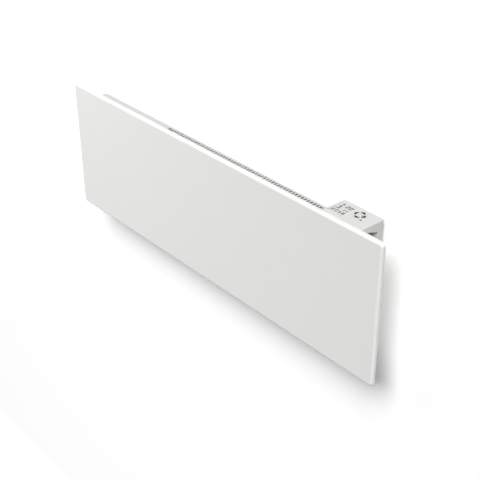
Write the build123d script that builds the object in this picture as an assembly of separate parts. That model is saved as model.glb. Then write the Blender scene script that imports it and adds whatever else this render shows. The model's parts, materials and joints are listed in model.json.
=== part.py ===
from build123d import *
import math
import os

# Wall panel convector heater.  Millimetres.
# X runs along the panel, Y from the room (-) to the wall (y = 0), Z up.
# The origin is the centre of the four wall screw slots, on the wall.

# ---- driving sizes: front panel --------------------------------------------------------------
panel_width = 1020.0
panel_height = 330.0
panel_sheet = 1.2
panel_flange = 9.5            # depth of the folded edge
panel_edge_radius = 5.7       # bend between the face and the folded edge
panel_corner_radius = 7.5
face_to_wall = 88.0           # panel face to wall

# ---- driving sizes: casing behind the panel --------------------------------------------------
casing_left_inset = 66.0      # panel's left edge to the casing's left end
casing_right_inset = 80.0
casing_top_drop = 21.0        # panel's top edge down to the casing's top
casing_bottom_rise = 25.0
casing_depth = 44.0
casing_sheet = 1.0
panel_gap = 6.8               # air gap between the panel's sheet and the casing
bend_radius = 1.0             # inside radius of every small fold
front_flange = 12.0           # flange of the top and bottom sheets, for the screws
lap_flange = 15.0             # flange that laps the back plate
end_flange = 12.0             # rim folded inwards all round each end plate
end_screw_share = 0.6         # screw's place across the rim
lap_screw_share = 0.6         # screw's place down the lap flange
sheet_fit = 0.3               # play left between a sheet's edge and a fold

# ---- driving sizes: air slots ----------------------------------------------------------------
slot_pitch = 8.7
slot_width = 5.2
slot_length = 30.0
slot_rear_margin = 6.0        # rear end of a slot to the casing's rear edge
slot_count = 58
slot_corner_share = 0.3       # bevelled slot corner, as a share of the slot's width
slots_right_inset = 110.0     # last slot to the casing's right end
inlet_pitch = 17.4
inlet_width = 8.0
inlet_count = 29

# ---- driving sizes: heating element ----------------------------------------------------------
element_length = 500.0
element_right_inset = 125.0   # element's right end to the casing's right end
element_height = 56.0
element_depth = 30.0
element_above_base = 100.0    # element's axis above the casing's bottom
element_web = 2.0
fin_thickness = 1.4
fin_length = 11.0
fin_places = (0.45, 0.72, 1.0)  # fins along an arm, as shares of its length
element_hub = 2.6             # metal round the rod's bore
rod_diameter = 8.5
rod_clearance = 0.1
rod_end = 20.0                # heating rod past the extrusion, each end
pin_diameter = 3.0
pin_length = 10.0
bush_flange = 20.0
bush_flange_thickness = 3.0
bush_barrel = 14.0
bush_barrel_past = 2.0        # barrel past the bracket
bracket_gap = 10.0            # extrusion's end to its bracket
bracket_sheet = 1.2
bracket_foot = 14.0
bracket_front_gap = 3.0
bracket_foot_screw = 0.55     # screw's place along the foot
bracket_below_axis = 22.0
bracket_above_axis = 42.0
cutout_diameter = 16.0
cutout_height = 9.0
cutout_above_axis = 28.0
cutout_ear_thickness = 1.0
cutout_ear_width = 26.0
cutout_ear_height = 8.0
blade_gap = 6.0               # between the thermostat's two blades
blade_length = 8.0
blade_width = 6.0
blade_thickness = 0.8
shield_inset = 82.0           # heat shield to the casing's right end
shield_front_gap = 2.0
wire_notch = 14.0
wire_hole = 9.0

# ---- driving sizes: control housing ----------------------------------------------------------
control_width = 105.0
control_right_inset = 67.0    # panel's right edge to the housing's right side
control_top_drop = 5.0
control_wall_gap = 8.0        # housing's back to the wall
control_skin = 2.0
control_arm_height = 13.0     # side of the arm at the panel
control_leg_depth = 18.0
control_leg_height = 85.0
control_slope_start = 25.5    # level part of the side's lower edge
control_slope_drop = 9.0
control_corner = 5.0
control_top_edge = 1.8
base_plate = 2.4
moulding_fit = 0.25

# ---- driving sizes: display and keys ---------------------------------------------------------
window_width = 38.0
window_length = 45.0
window_thickness = 1.2
window_ledge = 1.6            # width of the ledge that carries the window
window_left_inset = 4.5
window_back_inset = 9.0
window_fit = 0.15
lcd_frame = 0.6               # frame round the display's glass, and its step down
key_ring_left_inset = 64.5    # ring's centre from the housing's left side
key_ring_back_inset = 24.6
key_ring_outer = 15.0
key_ring_inner = 4.6
key_web = 2.6                 # cover left between two keys
key_corner = 0.6
key_fit = 0.3
key_proud = 0.5
key_travel = 0.6
key_rim = 0.7                 # rim under the cover that stops a key falling out
key_rim_thickness = 0.8
key_stem = 2.6
key_stem_radius = 9.8         # stems from the ring's centre
standby_diameter = 5.0
standby_sides = 24
standby_right = 14.3          # standby key from the ring's centre
standby_forward = 13.2
board_thickness = 1.6
board_drop = 9.0              # housing's top to the circuit board's face
board_edge = 4.0              # board's edge to the housing's outside
switch_side = 6.0
switch_gap = 0.9              # underside of the cover's rims to a switch
plunger_fit = 0.15
post_diameter = 7.0
cover_boss = 7.0
cover_boss_height = 12.0
stem_depth = 1.6              # key's stem in the well of its switch
relay_length = 28.0
relay_width = 12.5
relay_height = 7.8
capacitor_diameter = 8.0
capacitor_height = 14.0
bead_diameter = 2.6
bead_length = 5.0
bead_drop = 12.0              # bead's lower end below the power board
lead_diameter = 0.6
lead_gap = 1.6
vent_pitch = 7.0
vent_width = 2.5
vent_length = 8.0
vent_count = 7

# ---- driving sizes: wall bracket -------------------------------------------------------------
bracket_plate = 1.5
upright_spacing = 420.0
upright_width = 30.0
wall_slot_inset = 95.0        # wall slots to the panel's top and bottom edges
wall_slot_width = 5.5
wall_slot_length = 11.0
hook_above_slot = 20.0        # hook's bearing edge above the upper wall slots
hook_tip = 8.0
hook_play = 1.0
foot_below_slot = 11.0
foot_height = 30.0
rail_height = 40.0
rail_lip = 8.0
rail_past_uprights = 16.0
lift_travel = 12.0            # how far the heater lifts to come off its hooks
catch_shaft = 6.0
catch_head_length = 24.0
catch_head_width = 8.0
catch_head_thickness = 2.5
catch_head_bevel = 2.5
catch_lever_length = 26.0
catch_lever_thickness = 5.0
catch_hub = 13.2
catch_play = 0.4
catch_fit = 0.3               # shaft in its hole, all round
catch_press_fit = 0.05        # shaft in the lever, all round
rivet_diameter = 4.0
rivet_head = 7.2
rivet_head_height = 1.4
rivet_fit = 0.1
doubler_sheet = 1.2           # plates inside the back plate that carry the hooks and catches
doubler_width = 76.0
doubler_lap = 8.0             # doubler over the edge of the back plate's cut-out
doubler_margin = 14.0         # slot in the doubler to the edge of the cut-out

# ---- driving sizes: connections and fasteners ------------------------------------------------
gland_thread = 20.0
gland_bore = 8.0
gland_hexagon = 24.0
gland_collar = 5.0
gland_drop = 14.0
gland_thread_past = 2.0       # thread past its nut
gland_taper_wide = 22.0
gland_taper_narrow = 13.0
gland_right_inset = 38.0
nut_across = 24.0
nut_height = 4.0
block_poles = 3
block_pitch = 12.0
block_height = 22.0
block_depth = 18.0
block_right_inset = 60.0      # first pole to the casing's right end
block_above_base = 40.0
block_groove_width = 1.6      # groove between two poles
block_groove_depth = 3.0
terminal_screw_height = 3.0
terminal_screw_fit = 0.3
wire_diameter = 2.6
wire_bend = 10.0              # corner of a wire's run that is cut off
wire_sides = 8
wire_straight = 60.0          # straight rise out of the terminal block
wire_drop = 45.0              # straight drop from the boards into the casing
wire_well = 8.0
wire_well_fit = 0.3
wire_fit = 2.0                # end of a wire to the bottom of its well
wire_clear = 5.5              # middle of a wire on the casing's back to the back plate
wire_offset = 3.0             # step between wires that run side by side
earth_rise = 18.0             # straight part of the earth wire
earth_jog = 6.0
earth_tag_reach = 7.0         # ring tag's wire end to the earth screw
earth_tag_thickness = 1.2
loop_rise = 30.0              # wire's crossing above the thermostat
loop_out = 28.0               # wire's loop beyond the element's left pin
small_sides = 8               # sides of a small screw, post or hole, to keep the facets few
round_sides = 16              # sides of middling round parts, such as the heating rod
screw_diameter = 4.0
screw_head = 7.6
screw_head_height = 2.2
screw_fit = 0.1
screw_well = 5.0
panel_screw_grip = 5.0
casing_screw_grip = 6.0
chassis_screw_grip = 4.5
earth_screw_grip = 4.0
board_screw_grip = 4.0
base_screw_grip = 5.0
small_screw = 3.0
small_head = 5.6
small_head_height = 1.8


# ---- driving sizes: places of the fasteners ---------------------------------------------
panel_rail_foot = 14.0
panel_rail_inset = 10.0       # rail's end to the casing's end
rail_screw_inset = 40.0
rail_screw_clear = 25.0       # last screw of the upper rail to the control housing
panel_screw_count = 3
flange_screw_rise = 1.0       # screw above the middle of its flange
lap_screw_inset = 36.0
lap_screw_count = 4
end_screw_inset = 60.0
wire_port_inset = 36.0        # port for the wires to the housing's left side
wire_port_back = 8.0          # port's middle behind the casing's middle
wire_port_width = 34.0
wire_port_depth = 14.0
base_screw_inset = 14.0
base_screw_end = 16.0         # right screw to the casing's right end
bracket_screw_inset = 8.0
shield_screw_rise = 45.0
shield_screw_drop = 30.0
earth_screw_right = 14.0      # earth screw from the terminal block
earth_screw_rise = 34.0
post_inset = 9.0
post_front_inset = 8.0
post_window_gap = 4.5         # post to the display window's edge
post_leg_gap = 3.0            # posts in front of the housing's leg
cover_screw_inset = 12.0
cover_screw_shift = 1.0       # boss let into the cover's back
power_board_inset = 10.0
power_board_gap = 3.0
power_post_inset = 5.0
power_post_drop = 6.0
relay_inset = 30.0
relay_rise = 6.0
capacitor_inset = 14.0
capacitor_rise = 12.0
sensor_right = 8.0            # thermistor from the housing's middle
hook_slot_play = 2.5
hook_slot_fit = 1.5


# ---- helpers ---------------------------------------------------------------------------------
def slab(x0, x1, y0, y1, z0, z1):
    """Block between two corners."""
    middle = ((x0 + x1) / 2, (y0 + y1) / 2, (z0 + z1) / 2)
    return Pos(*middle) * Box(abs(x1 - x0), abs(y1 - y0), abs(z1 - z0))


def bar_x(x0, x1, y, z, depth, height):
    """Square-cut bar along the panel, centred on y and z."""
    return slab(x0, x1, y - depth / 2, y + depth / 2, z - height / 2, z + height / 2)


def rod_z(x, y, z0, z1, diameter):
    """Upright round bar."""
    return Pos(x, y, (z0 + z1) / 2) * Cylinder(diameter / 2, abs(z1 - z0))


def rod_x(x0, x1, y, z, diameter):
    """Bar along the panel with round_sides sides."""
    return prism((min(x0, x1), y, z), (1, 0, 0), abs(x1 - x0), diameter, round_sides)


def rod_y(x, y0, y1, z, diameter):
    """Round bar square to the wall."""
    return Pos(x, (y0 + y1) / 2, z) * Rot(90, 0, 0) * Cylinder(diameter / 2, abs(y1 - y0))


def spread(first, last, count):
    """Evenly spaced places from first to last."""
    return [first + (last - first) * i / (count - 1) for i in range(count)]


def folded_sheet(corners, thickness, inside_radius, x0, x1):
    """Strip folded along the middle line through (y, z) corners, from x0 to x1."""
    middle = FilletPolyline(*corners, radius=inside_radius + thickness / 2)
    profile = Plane.YZ * trace(middle, thickness)
    return Pos(x0, 0, 0) * extrude(profile, x1 - x0, dir=(1, 0, 0))


def folded_plan(corners, thickness, inside_radius, z0, z1):
    """Strip folded along the middle line through (x, y) corners, from z0 up to z1."""
    middle = FilletPolyline(*corners, radius=inside_radius + thickness / 2)
    return Pos(0, 0, z0) * extrude(trace(middle, thickness), z1 - z0, dir=(0, 0, 1))


def many_sided(across, sides):
    """Regular outline with a size across its flats, in place of a circle."""
    return RegularPolygon(across / 2, sides, major_radius=False)


def prism(place, direction, length, across, sides=small_sides):
    """Bar with flat sides, from place along direction, for what is small and round."""
    outline = many_sided(across, sides)
    return extrude(Plane(place, z_dir=direction) * outline, length, dir=direction)


def pan_screw(place, direction, grip, diameter, head, head_height):
    """Pan-head screw: place is under the head, direction points along the shank."""
    away = tuple(-part for part in direction)
    return prism(place, direction, grip, diameter) + prism(place, away, head_height, head)


def m4_screw(place, direction, grip):
    """Pan-head screw of the casing's size."""
    return pan_screw(place, direction, grip, screw_diameter, screw_head, screw_head_height)


def m3_screw(place, direction, grip, diameter=small_screw):
    """Pan-head screw of the small size."""
    return pan_screw(place, direction, grip, diameter, small_head, small_head_height)


def group(solids):
    """Separate solids kept together under one name."""
    return Compound(children=list(solids))


def holes_y(places, diameter, y):
    """Cutters through a sheet at depth y."""
    reach = 4.0
    return [prism((x, y - reach, z), (0, 1, 0), 2 * reach, diameter) for x, z in places]


def hole_z(x, y, z, diameter, sides=small_sides):
    """Cutter through a level sheet at height z."""
    reach = 4.0
    return prism((x, y, z - reach), (0, 0, 1), 2 * reach, diameter, sides)


def post_z(x, y, z0, z1, diameter):
    """Small upright post or well."""
    return prism((x, y, z0), (0, 0, 1), z1 - z0, diameter)


def wire(*points):
    """Insulated wire through the points; each corner is cut off by a short run."""
    corners = [Vector(*point) for point in points]
    path = [corners[0]]
    for before, corner, after in zip(corners, corners[1:], corners[2:]):
        for end in (before, after):
            cut = min(wire_bend, 0.4 * (end - corner).length)
            path.append(corner + (end - corner).normalized() * cut)
    path.append(corners[-1])
    line = Polyline(*path)
    section = Plane(line @ 0, z_dir=line % 0) * RegularPolygon(wire_diameter / 2, wire_sides)
    return sweep(section, line, transition=Transition.RIGHT)


# ---- places worked out from the sizes --------------------------------------------------------
face_y = -face_to_wall
panel_back_y = face_y + panel_sheet
flange_back_y = face_y + panel_flange
casing_front_y = panel_back_y + panel_gap
casing_back_y = casing_front_y + casing_depth
back_plate_rear_y = casing_back_y - casing_sheet
back_plate_front_y = back_plate_rear_y - casing_sheet
casing_left_x = -panel_width / 2 + casing_left_inset
casing_right_x = panel_width / 2 - casing_right_inset
casing_top_z = panel_height / 2 - casing_top_drop
casing_bottom_z = -panel_height / 2 + casing_bottom_rise
inner_y = (casing_front_y + back_plate_front_y) / 2

slots_right_x = casing_right_x - slots_right_inset
slots_y = casing_back_y - slot_rear_margin - slot_length / 2

element_right_x = casing_right_x - element_right_inset
element_left_x = element_right_x - element_length
element_z = casing_bottom_z + element_above_base

control_right_x = panel_width / 2 - control_right_inset
control_left_x = control_right_x - control_width
control_mid_x = (control_left_x + control_right_x) / 2
control_top_z = panel_height / 2 - control_top_drop
control_back_y = -control_wall_gap
control_front_y = flange_back_y + sheet_fit
control_inner_z = control_top_z - control_skin
leg_front_y = control_back_y - control_leg_depth
leg_bottom_z = control_top_z - control_leg_height
arm_bottom_z = control_top_z - control_arm_height
base_top_z = casing_top_z + base_plate
board_z = control_top_z - board_drop

ring_x = control_left_x + key_ring_left_inset
ring_y = control_back_y - key_ring_back_inset
standby_x = ring_x + standby_right
standby_y = ring_y - standby_forward
window_x = control_left_x + window_left_inset + window_width / 2
window_y = control_back_y - window_back_inset - window_length / 2
rim_bottom_z = control_inner_z - key_rim_thickness
switch_top_z = rim_bottom_z - switch_gap

wall_slot_spacing = panel_height - 2 * wall_slot_inset
upright_x = upright_spacing / 2
hook_z = wall_slot_spacing / 2 + hook_above_slot
foot_z = -wall_slot_spacing / 2 - foot_below_slot
catch_z = foot_z - foot_height / 2
doubler_front_y = back_plate_front_y - doubler_sheet
hook_tip_y = doubler_front_y - hook_play - bracket_plate / 2
foot_tab_y = back_plate_rear_y + bracket_plate / 2
lever_front_y = back_plate_rear_y + bracket_plate + catch_play
lever_rear_y = lever_front_y + catch_lever_thickness
rivet_zs = (-rail_height / 4, rail_height / 4)

rail_left_x = casing_left_x + panel_rail_inset
rail_right_x = casing_right_x - panel_rail_inset
flange_screw_z = front_flange / 2 + flange_screw_rise
first_screw_x = casing_left_x + rail_screw_inset
last_screw_x = casing_right_x - rail_screw_inset
rail_screw_xs = spread(first_screw_x, control_left_x - rail_screw_clear, panel_screw_count)
lower_screw_xs = spread(first_screw_x, last_screw_x, panel_screw_count)

lap_screw_z = lap_flange * lap_screw_share
lap_left_x = casing_left_x + lap_screw_inset
lap_right_x = casing_right_x - lap_screw_inset
lap_screw_xs = spread(lap_left_x, lap_right_x, lap_screw_count)
hole_m4 = screw_diameter + 2 * screw_fit
hole_m3 = small_screw + 2 * screw_fit
upper_flange_z = casing_top_z + flange_screw_z
lower_flange_z = casing_bottom_z - flange_screw_z
upper_lap_z = casing_top_z - lap_screw_z
lower_lap_z = casing_bottom_z + lap_screw_z
upper_rail_holes = [(x, upper_flange_z) for x in rail_screw_xs]
lower_rail_holes = [(x, lower_flange_z) for x in lower_screw_xs]
upper_lap_holes = [(x, upper_lap_z) for x in lap_screw_xs]
lower_lap_holes = [(x, lower_lap_z) for x in lap_screw_xs]

wire_port_x = control_left_x + wire_port_inset
wire_port_y = inner_y + wire_port_back
gland_x = casing_right_x - gland_right_inset
base_screw_places = [
    (control_left_x + base_screw_inset, control_front_y + base_screw_inset),
    (casing_right_x - base_screw_end, control_front_y + base_screw_inset),
]

end_screw_zs = [casing_bottom_z + end_screw_inset, casing_top_z - end_screw_inset]
end_screw_offset = end_flange * end_screw_share
end_screw_xs = [casing_left_x + end_screw_offset, casing_right_x - end_screw_offset]
back_plate_end_holes = [(x, z) for x in end_screw_xs for z in end_screw_zs]
hook_slot_height = lift_travel + bracket_plate + hook_slot_play
hook_slot_width = upright_width + hook_slot_fit
catch_slot_width = catch_head_width + 2 * catch_fit
catch_slot_top = catch_z + catch_shaft / 2 + catch_fit
catch_slot_bottom = catch_z - lift_travel - catch_head_length / 2 - catch_fit
block_left_x = casing_right_x - block_right_inset - block_pitch / 2
block_right_x = block_left_x + block_poles * block_pitch
block_bottom_z = casing_bottom_z + block_above_base
block_top_z = block_bottom_z + block_height
earth_x = block_right_x + earth_screw_right
earth_z = block_top_z + earth_screw_rise
left_bracket_x = element_left_x - bracket_gap
right_bracket_x = element_right_x + bracket_gap
shield_x = casing_right_x - shield_inset
foot_screw_offset = bracket_foot * bracket_foot_screw
bracket_low_z = element_z - bracket_below_axis
bracket_high_z = element_z + bracket_above_axis
bracket_screw_places = [
    (x, z)
    for x in (left_bracket_x - foot_screw_offset, right_bracket_x + foot_screw_offset)
    for z in (bracket_low_z + bracket_screw_inset, bracket_high_z - bracket_screw_inset)
]
shield_screw_places = [
    (shield_x + foot_screw_offset, casing_bottom_z + shield_screw_rise),
    (shield_x + foot_screw_offset, casing_top_z - shield_screw_drop),
]

back_plate_edge = casing_sheet + bend_radius + sheet_fit
cutout_half = doubler_width / 2 - doubler_lap
hook_cutout_low = hook_z - hook_slot_height - doubler_margin
hook_cutout_high = hook_z + doubler_margin
catch_cutout_high = catch_slot_top + doubler_margin

cutout_x = right_bracket_x + bracket_sheet / 2
cutout_z = element_z + cutout_above_axis
blade_end_x = cutout_x + cutout_height + blade_length
block_wire_y = back_plate_front_y - block_depth / 2
pole_xs = [block_left_x + block_pitch * (i + 0.5) for i in range(block_poles)]

key_angles = {"right": 0, "back": 90, "left": 180, "front": 270}
post_right_x = control_right_x - post_inset
post_front_y = control_front_y + post_front_inset
post_rear_y = leg_front_y - post_leg_gap
post_places = [
    (control_left_x + post_inset, post_front_y),
    (post_right_x, post_front_y),
    (window_x + window_width / 2 + post_window_gap, post_rear_y),
    (post_right_x, post_rear_y),
]
cover_screw_xs = [control_left_x + cover_screw_inset, control_right_x - cover_screw_inset]
cover_screw_y = control_back_y - control_skin - cover_boss / 2 + cover_screw_shift

power_board_y = leg_front_y + base_plate + power_board_gap
power_board_rear_y = power_board_y + board_thickness
power_board_left = control_left_x + power_board_inset
power_board_right = control_right_x - power_board_inset
power_board_bottom = leg_bottom_z + base_plate + cover_boss_height + power_board_gap
power_post_low = power_board_bottom + power_post_inset
power_post_high = arm_bottom_z - control_slope_drop - power_post_drop
power_board_posts = [
    (x, z)
    for x in (power_board_left + power_post_inset, power_board_right - power_post_inset)
    for z in (power_post_low, power_post_high)
]


# ---- front panel -----------------------------------------------------------------------------
def tray(inset, depth, front_y, edge_radius, corner_radius):
    """Solid with the outline of the panel, set in by inset."""
    width = panel_width - 2 * inset
    height = panel_height - 2 * inset
    outline = RectangleRounded(width, height, corner_radius)
    face = Plane((0, front_y, 0), x_dir=(1, 0, 0), z_dir=(0, 1, 0)) * outline
    body = extrude(face, depth, dir=(0, 1, 0))
    front_edges = body.edges().group_by(Axis.Y)[0]
    return fillet(front_edges, edge_radius)


def make_front_panel():
    outer = tray(0, panel_flange, face_y, panel_edge_radius, panel_corner_radius)
    hollow = tray(
        panel_sheet,
        panel_flange,
        panel_back_y,
        panel_edge_radius - panel_sheet,
        panel_corner_radius - panel_sheet,
    )
    return outer - hollow


def make_panel_rail(edge_z, up, screw_places):
    """Z-section rail on the panel's back; up is +1 at the top edge, -1 at the bottom."""
    sheet = casing_sheet
    foot_y = panel_back_y + sheet / 2
    crown_y = casing_front_y - sheet / 2
    corners = [
        (foot_y, edge_z - up * panel_rail_foot),
        (foot_y, edge_z + up * sheet),
        (crown_y, edge_z + up * sheet),
        (crown_y, edge_z + up * (front_flange + sheet)),
    ]
    rail = folded_sheet(corners, sheet, bend_radius, rail_left_x, rail_right_x)
    return rail - holes_y(screw_places, hole_m4, crown_y)


# ---- casing ----------------------------------------------------------------------------------
def make_wrap_sheet(edge_z, up):
    """Top (up = +1) or bottom (up = -1) sheet with its screw flange and lap flange."""
    half = casing_sheet / 2
    corners = [
        (casing_front_y + half, edge_z + up * front_flange),
        (casing_front_y + half, edge_z - up * half),
        (casing_back_y - half, edge_z - up * half),
        (casing_back_y - half, edge_z - up * lap_flange),
    ]
    return folded_sheet(corners, casing_sheet, bend_radius, casing_left_x, casing_right_x)


def slot_cutters(z, pitch, width, count, corner_share):
    """Row of air slots across a sheet at height z, ending at the right."""
    middle_x = slots_right_x - (count - 1) * pitch / 2
    slot = Rectangle(width, slot_length)
    if corner_share > 0:
        slot = chamfer(slot.vertices(), width * corner_share)
    row = [Pos(middle_x, slots_y) * place * slot for place in GridLocations(pitch, 1, count, 1)]
    return [Pos(0, 0, z - 3) * extrude(shape, 6) for shape in row]


def make_outlet_grille():
    """Top sheet of the casing, punched with the row of outlet slots."""
    sheet = make_wrap_sheet(casing_top_z, 1)
    cutters = slot_cutters(casing_top_z, slot_pitch, slot_width, slot_count, slot_corner_share)
    cutters += holes_y(upper_rail_holes, hole_m4, casing_front_y)
    cutters += holes_y(upper_lap_holes, hole_m4, casing_back_y)
    port = slab(
        wire_port_x - wire_port_width / 2,
        wire_port_x + wire_port_width / 2,
        wire_port_y - wire_port_depth / 2,
        wire_port_y + wire_port_depth / 2,
        casing_top_z - 3,
        casing_top_z + 3,
    )
    cutters.append(port)
    for x, y in base_screw_places:
        cutters.append(hole_z(x, y, casing_top_z, hole_m3))
    return sheet - cutters


def make_inlet_grille():
    """Bottom sheet of the casing, with the inlet slots and the cable gland's hole."""
    sheet = make_wrap_sheet(casing_bottom_z, -1)
    cutters = slot_cutters(casing_bottom_z, inlet_pitch, inlet_width, inlet_count, 0)
    cutters += holes_y(lower_rail_holes, hole_m4, casing_front_y)
    cutters += holes_y(lower_lap_holes, hole_m4, casing_back_y)
    gland_hole = gland_thread + 2 * screw_fit
    cutters.append(hole_z(gland_x, inner_y, casing_bottom_z, gland_hole, round_sides))
    return sheet - cutters


def end_tray(x, inward, inset, bevel):
    """Solid of an end plate's outline, set in by inset from its outside."""
    depth = back_plate_front_y - casing_front_y - 2 * inset
    height = casing_top_z - casing_bottom_z - 2 * casing_sheet - 2 * inset
    middle = (x + inward * inset, inner_y, (casing_top_z + casing_bottom_z) / 2)
    outline = chamfer(Rectangle(depth, height).vertices(), bevel)
    face = Plane(middle, x_dir=(0, 1, 0), z_dir=(inward, 0, 0)) * outline
    return extrude(face, end_flange, dir=(inward, 0, 0))


def make_end_plate(x, inward):
    """End plate with a rim folded inwards all round; inward is +1 or -1 along X."""
    outer = end_tray(x, inward, 0, bend_radius + casing_sheet)
    hollow = end_tray(x, inward, casing_sheet, bend_radius)
    plate = outer - hollow
    rim_x = x + inward * end_screw_offset
    rim_holes = [(rim_x, z) for z in end_screw_zs]
    return plate - holes_y(rim_holes, hole_m4, back_plate_front_y)


def make_back_plate():
    """Flat back of the casing, cut out behind the doublers of the hooks and catches."""
    low = casing_bottom_z + back_plate_edge
    high = casing_top_z - back_plate_edge
    front = back_plate_front_y
    rear = back_plate_rear_y
    plate = slab(casing_left_x, casing_right_x, front, rear, low, high)
    cutters = []
    for x in (-upright_x, upright_x):
        left = x - cutout_half
        right = x + cutout_half
        cutters.append(slab(left, right, front - 1, rear + 1, hook_cutout_low, hook_cutout_high))
        cutters.append(slab(left, right, front - 1, rear + 1, low - 1, catch_cutout_high))
    cutters += holes_y(upper_lap_holes + lower_lap_holes, hole_m4, rear)
    cutters += holes_y(back_plate_end_holes, hole_m4, rear)
    cutters += holes_y(bracket_screw_places + shield_screw_places, hole_m3, rear)
    cutters += holes_y([(earth_x, earth_z)], hole_m4, rear)
    return plate - cutters


def make_hook_doubler(x):
    """Welded plate with the slot that a hook of the wall bracket carries."""
    front = doubler_front_y
    rear = back_plate_front_y
    left = x - doubler_width / 2
    right = x + doubler_width / 2
    low = hook_cutout_low - doubler_lap
    plate = slab(left, right, front, rear, low, hook_cutout_high + doubler_lap)
    half = hook_slot_width / 2
    return plate - slab(x - half, x + half, front - 1, rear + 1, hook_z - hook_slot_height, hook_z)


def make_catch_doubler(x):
    """Welded plate with the slot that the catch locks across."""
    front = doubler_front_y
    rear = back_plate_front_y
    left = x - doubler_width / 2
    right = x + doubler_width / 2
    low = casing_bottom_z + back_plate_edge
    plate = slab(left, right, front, rear, low, catch_cutout_high + doubler_lap)
    half = catch_slot_width / 2
    return plate - slab(x - half, x + half, front - 1, rear + 1, catch_slot_bottom, catch_slot_top)


def make_panel_screws():
    places = upper_rail_holes + lower_rail_holes
    under_head = casing_front_y + casing_sheet
    return [m4_screw((x, under_head, z), (0, -1, 0), panel_screw_grip) for x, z in places]


def make_casing_screws():
    """Screws of the casing's laps and end plates, driven from behind."""
    lap = [(x, casing_back_y, z) for x, z in upper_lap_holes + lower_lap_holes]
    ends = [(x, back_plate_rear_y, z) for x, z in back_plate_end_holes]
    return [m4_screw(place, (0, -1, 0), casing_screw_grip) for place in lap + ends]


# ---- heating element -------------------------------------------------------------------------
def make_element():
    """Aluminium extrusion: four arms round the rod's bore, with fins along the arms."""
    half_depth = element_depth / 2
    half_height = element_height / 2
    shape = Sketch() + many_sided(rod_diameter + 2 * element_hub, round_sides)
    arm_length = math.hypot(half_depth, half_height)
    arm_angle = math.degrees(math.atan2(half_height, half_depth))
    for turn in (arm_angle, 180 - arm_angle, 180 + arm_angle, -arm_angle):
        arm = Pos(arm_length / 2, 0) * Rectangle(arm_length, element_web)
        shape += Rot(0, 0, turn) * arm
    for share in fin_places:
        for side in (-1, 1):
            for level in (-1, 1):
                place = Pos(side * share * half_depth, level * share * half_height)
                shape += place * Rectangle(fin_thickness, fin_length)
    shape -= many_sided(rod_diameter + 2 * rod_clearance, round_sides)
    section = Plane((element_left_x, inner_y, element_z), x_dir=(0, 1, 0), z_dir=(1, 0, 0)) * shape
    return extrude(section, element_length, dir=(1, 0, 0))


def make_heating_rod():
    """Sheathed rod through the extrusion, with a connection pin at each end."""
    left = element_left_x - rod_end
    right = element_right_x + rod_end
    rod = rod_x(left, right, inner_y, element_z, rod_diameter)
    pins = rod_x(left - pin_length, right + pin_length, inner_y, element_z, pin_diameter)
    return rod + pins


def make_element_bracket(x, outward):
    """Folded bracket that carries one end of the rod in its bush."""
    front = casing_front_y + bracket_front_gap
    foot_y = back_plate_front_y - bracket_sheet / 2
    corners = [
        (x, front),
        (x, foot_y),
        (x + outward * bracket_foot, foot_y),
    ]
    bracket = folded_plan(corners, bracket_sheet, bend_radius, bracket_low_z, bracket_high_z)
    hole = rod_x(x - 3, x + 3, inner_y, element_z, bush_barrel + 2 * screw_fit)
    screws = [(sx, sz) for sx, sz in bracket_screw_places if abs(sx - x) < bracket_foot]
    return bracket - [hole] - holes_y(screws, hole_m3, back_plate_front_y)


def make_bush(x, inward):
    """Stepped insulating bush between the bracket and the rod."""
    face = x + inward * bracket_sheet / 2
    half = bush_flange / 2
    collar = slab(
        face,
        face + inward * bush_flange_thickness,
        inner_y - half,
        inner_y + half,
        element_z - half,
        element_z + half,
    )
    end = x - inward * (bracket_sheet / 2 + bush_barrel_past)
    barrel = rod_x(end, face, inner_y, element_z, bush_barrel)
    bore = rod_x(x - 12, x + 12, inner_y, element_z, rod_diameter + 2 * rod_clearance)
    return collar + barrel - bore


def make_cutout():
    """Disc thermostat on the right bracket, with two blades for its wires."""
    ear_end = cutout_x + cutout_ear_thickness
    body = bar_x(cutout_x, ear_end, inner_y, cutout_z, cutout_ear_width, cutout_ear_height)
    face_x = cutout_x + cutout_height
    body += rod_x(cutout_x, face_x, inner_y, cutout_z, cutout_diameter)
    for side in (-1, 1):
        y = inner_y + side * blade_gap / 2
        body += bar_x(face_x - 1, blade_end_x, y, cutout_z, blade_thickness, blade_width)
    return body


def make_heat_shield():
    """Folded sheet between the hot space and the connections."""
    front = casing_front_y + shield_front_gap
    foot_y = back_plate_front_y - casing_sheet / 2
    corners = [
        (shield_x, front),
        (shield_x, foot_y),
        (shield_x + bracket_foot, foot_y),
    ]
    low = casing_bottom_z + casing_sheet + sheet_fit
    high = casing_top_z - casing_sheet - sheet_fit
    shield = folded_plan(corners, casing_sheet, bend_radius, low, high)
    notch_y = back_plate_front_y - bend_radius - casing_sheet - wire_notch
    notch = slab(shield_x - 3, shield_x + 3, notch_y, notch_y + wire_notch, low - 1, low + 2 * wire_notch)
    hole = prism((shield_x - 3, inner_y + blade_gap / 2, cutout_z), (1, 0, 0), 6, wire_hole)
    return shield - [notch, hole] - holes_y(shield_screw_places, hole_m3, back_plate_front_y)


def make_chassis_screws():
    """Small screws of the element brackets and the heat shield, driven from behind."""
    return [
        m3_screw((x, back_plate_rear_y, z), (0, -1, 0), chassis_screw_grip)
        for x, z in bracket_screw_places + shield_screw_places
    ]


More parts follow.
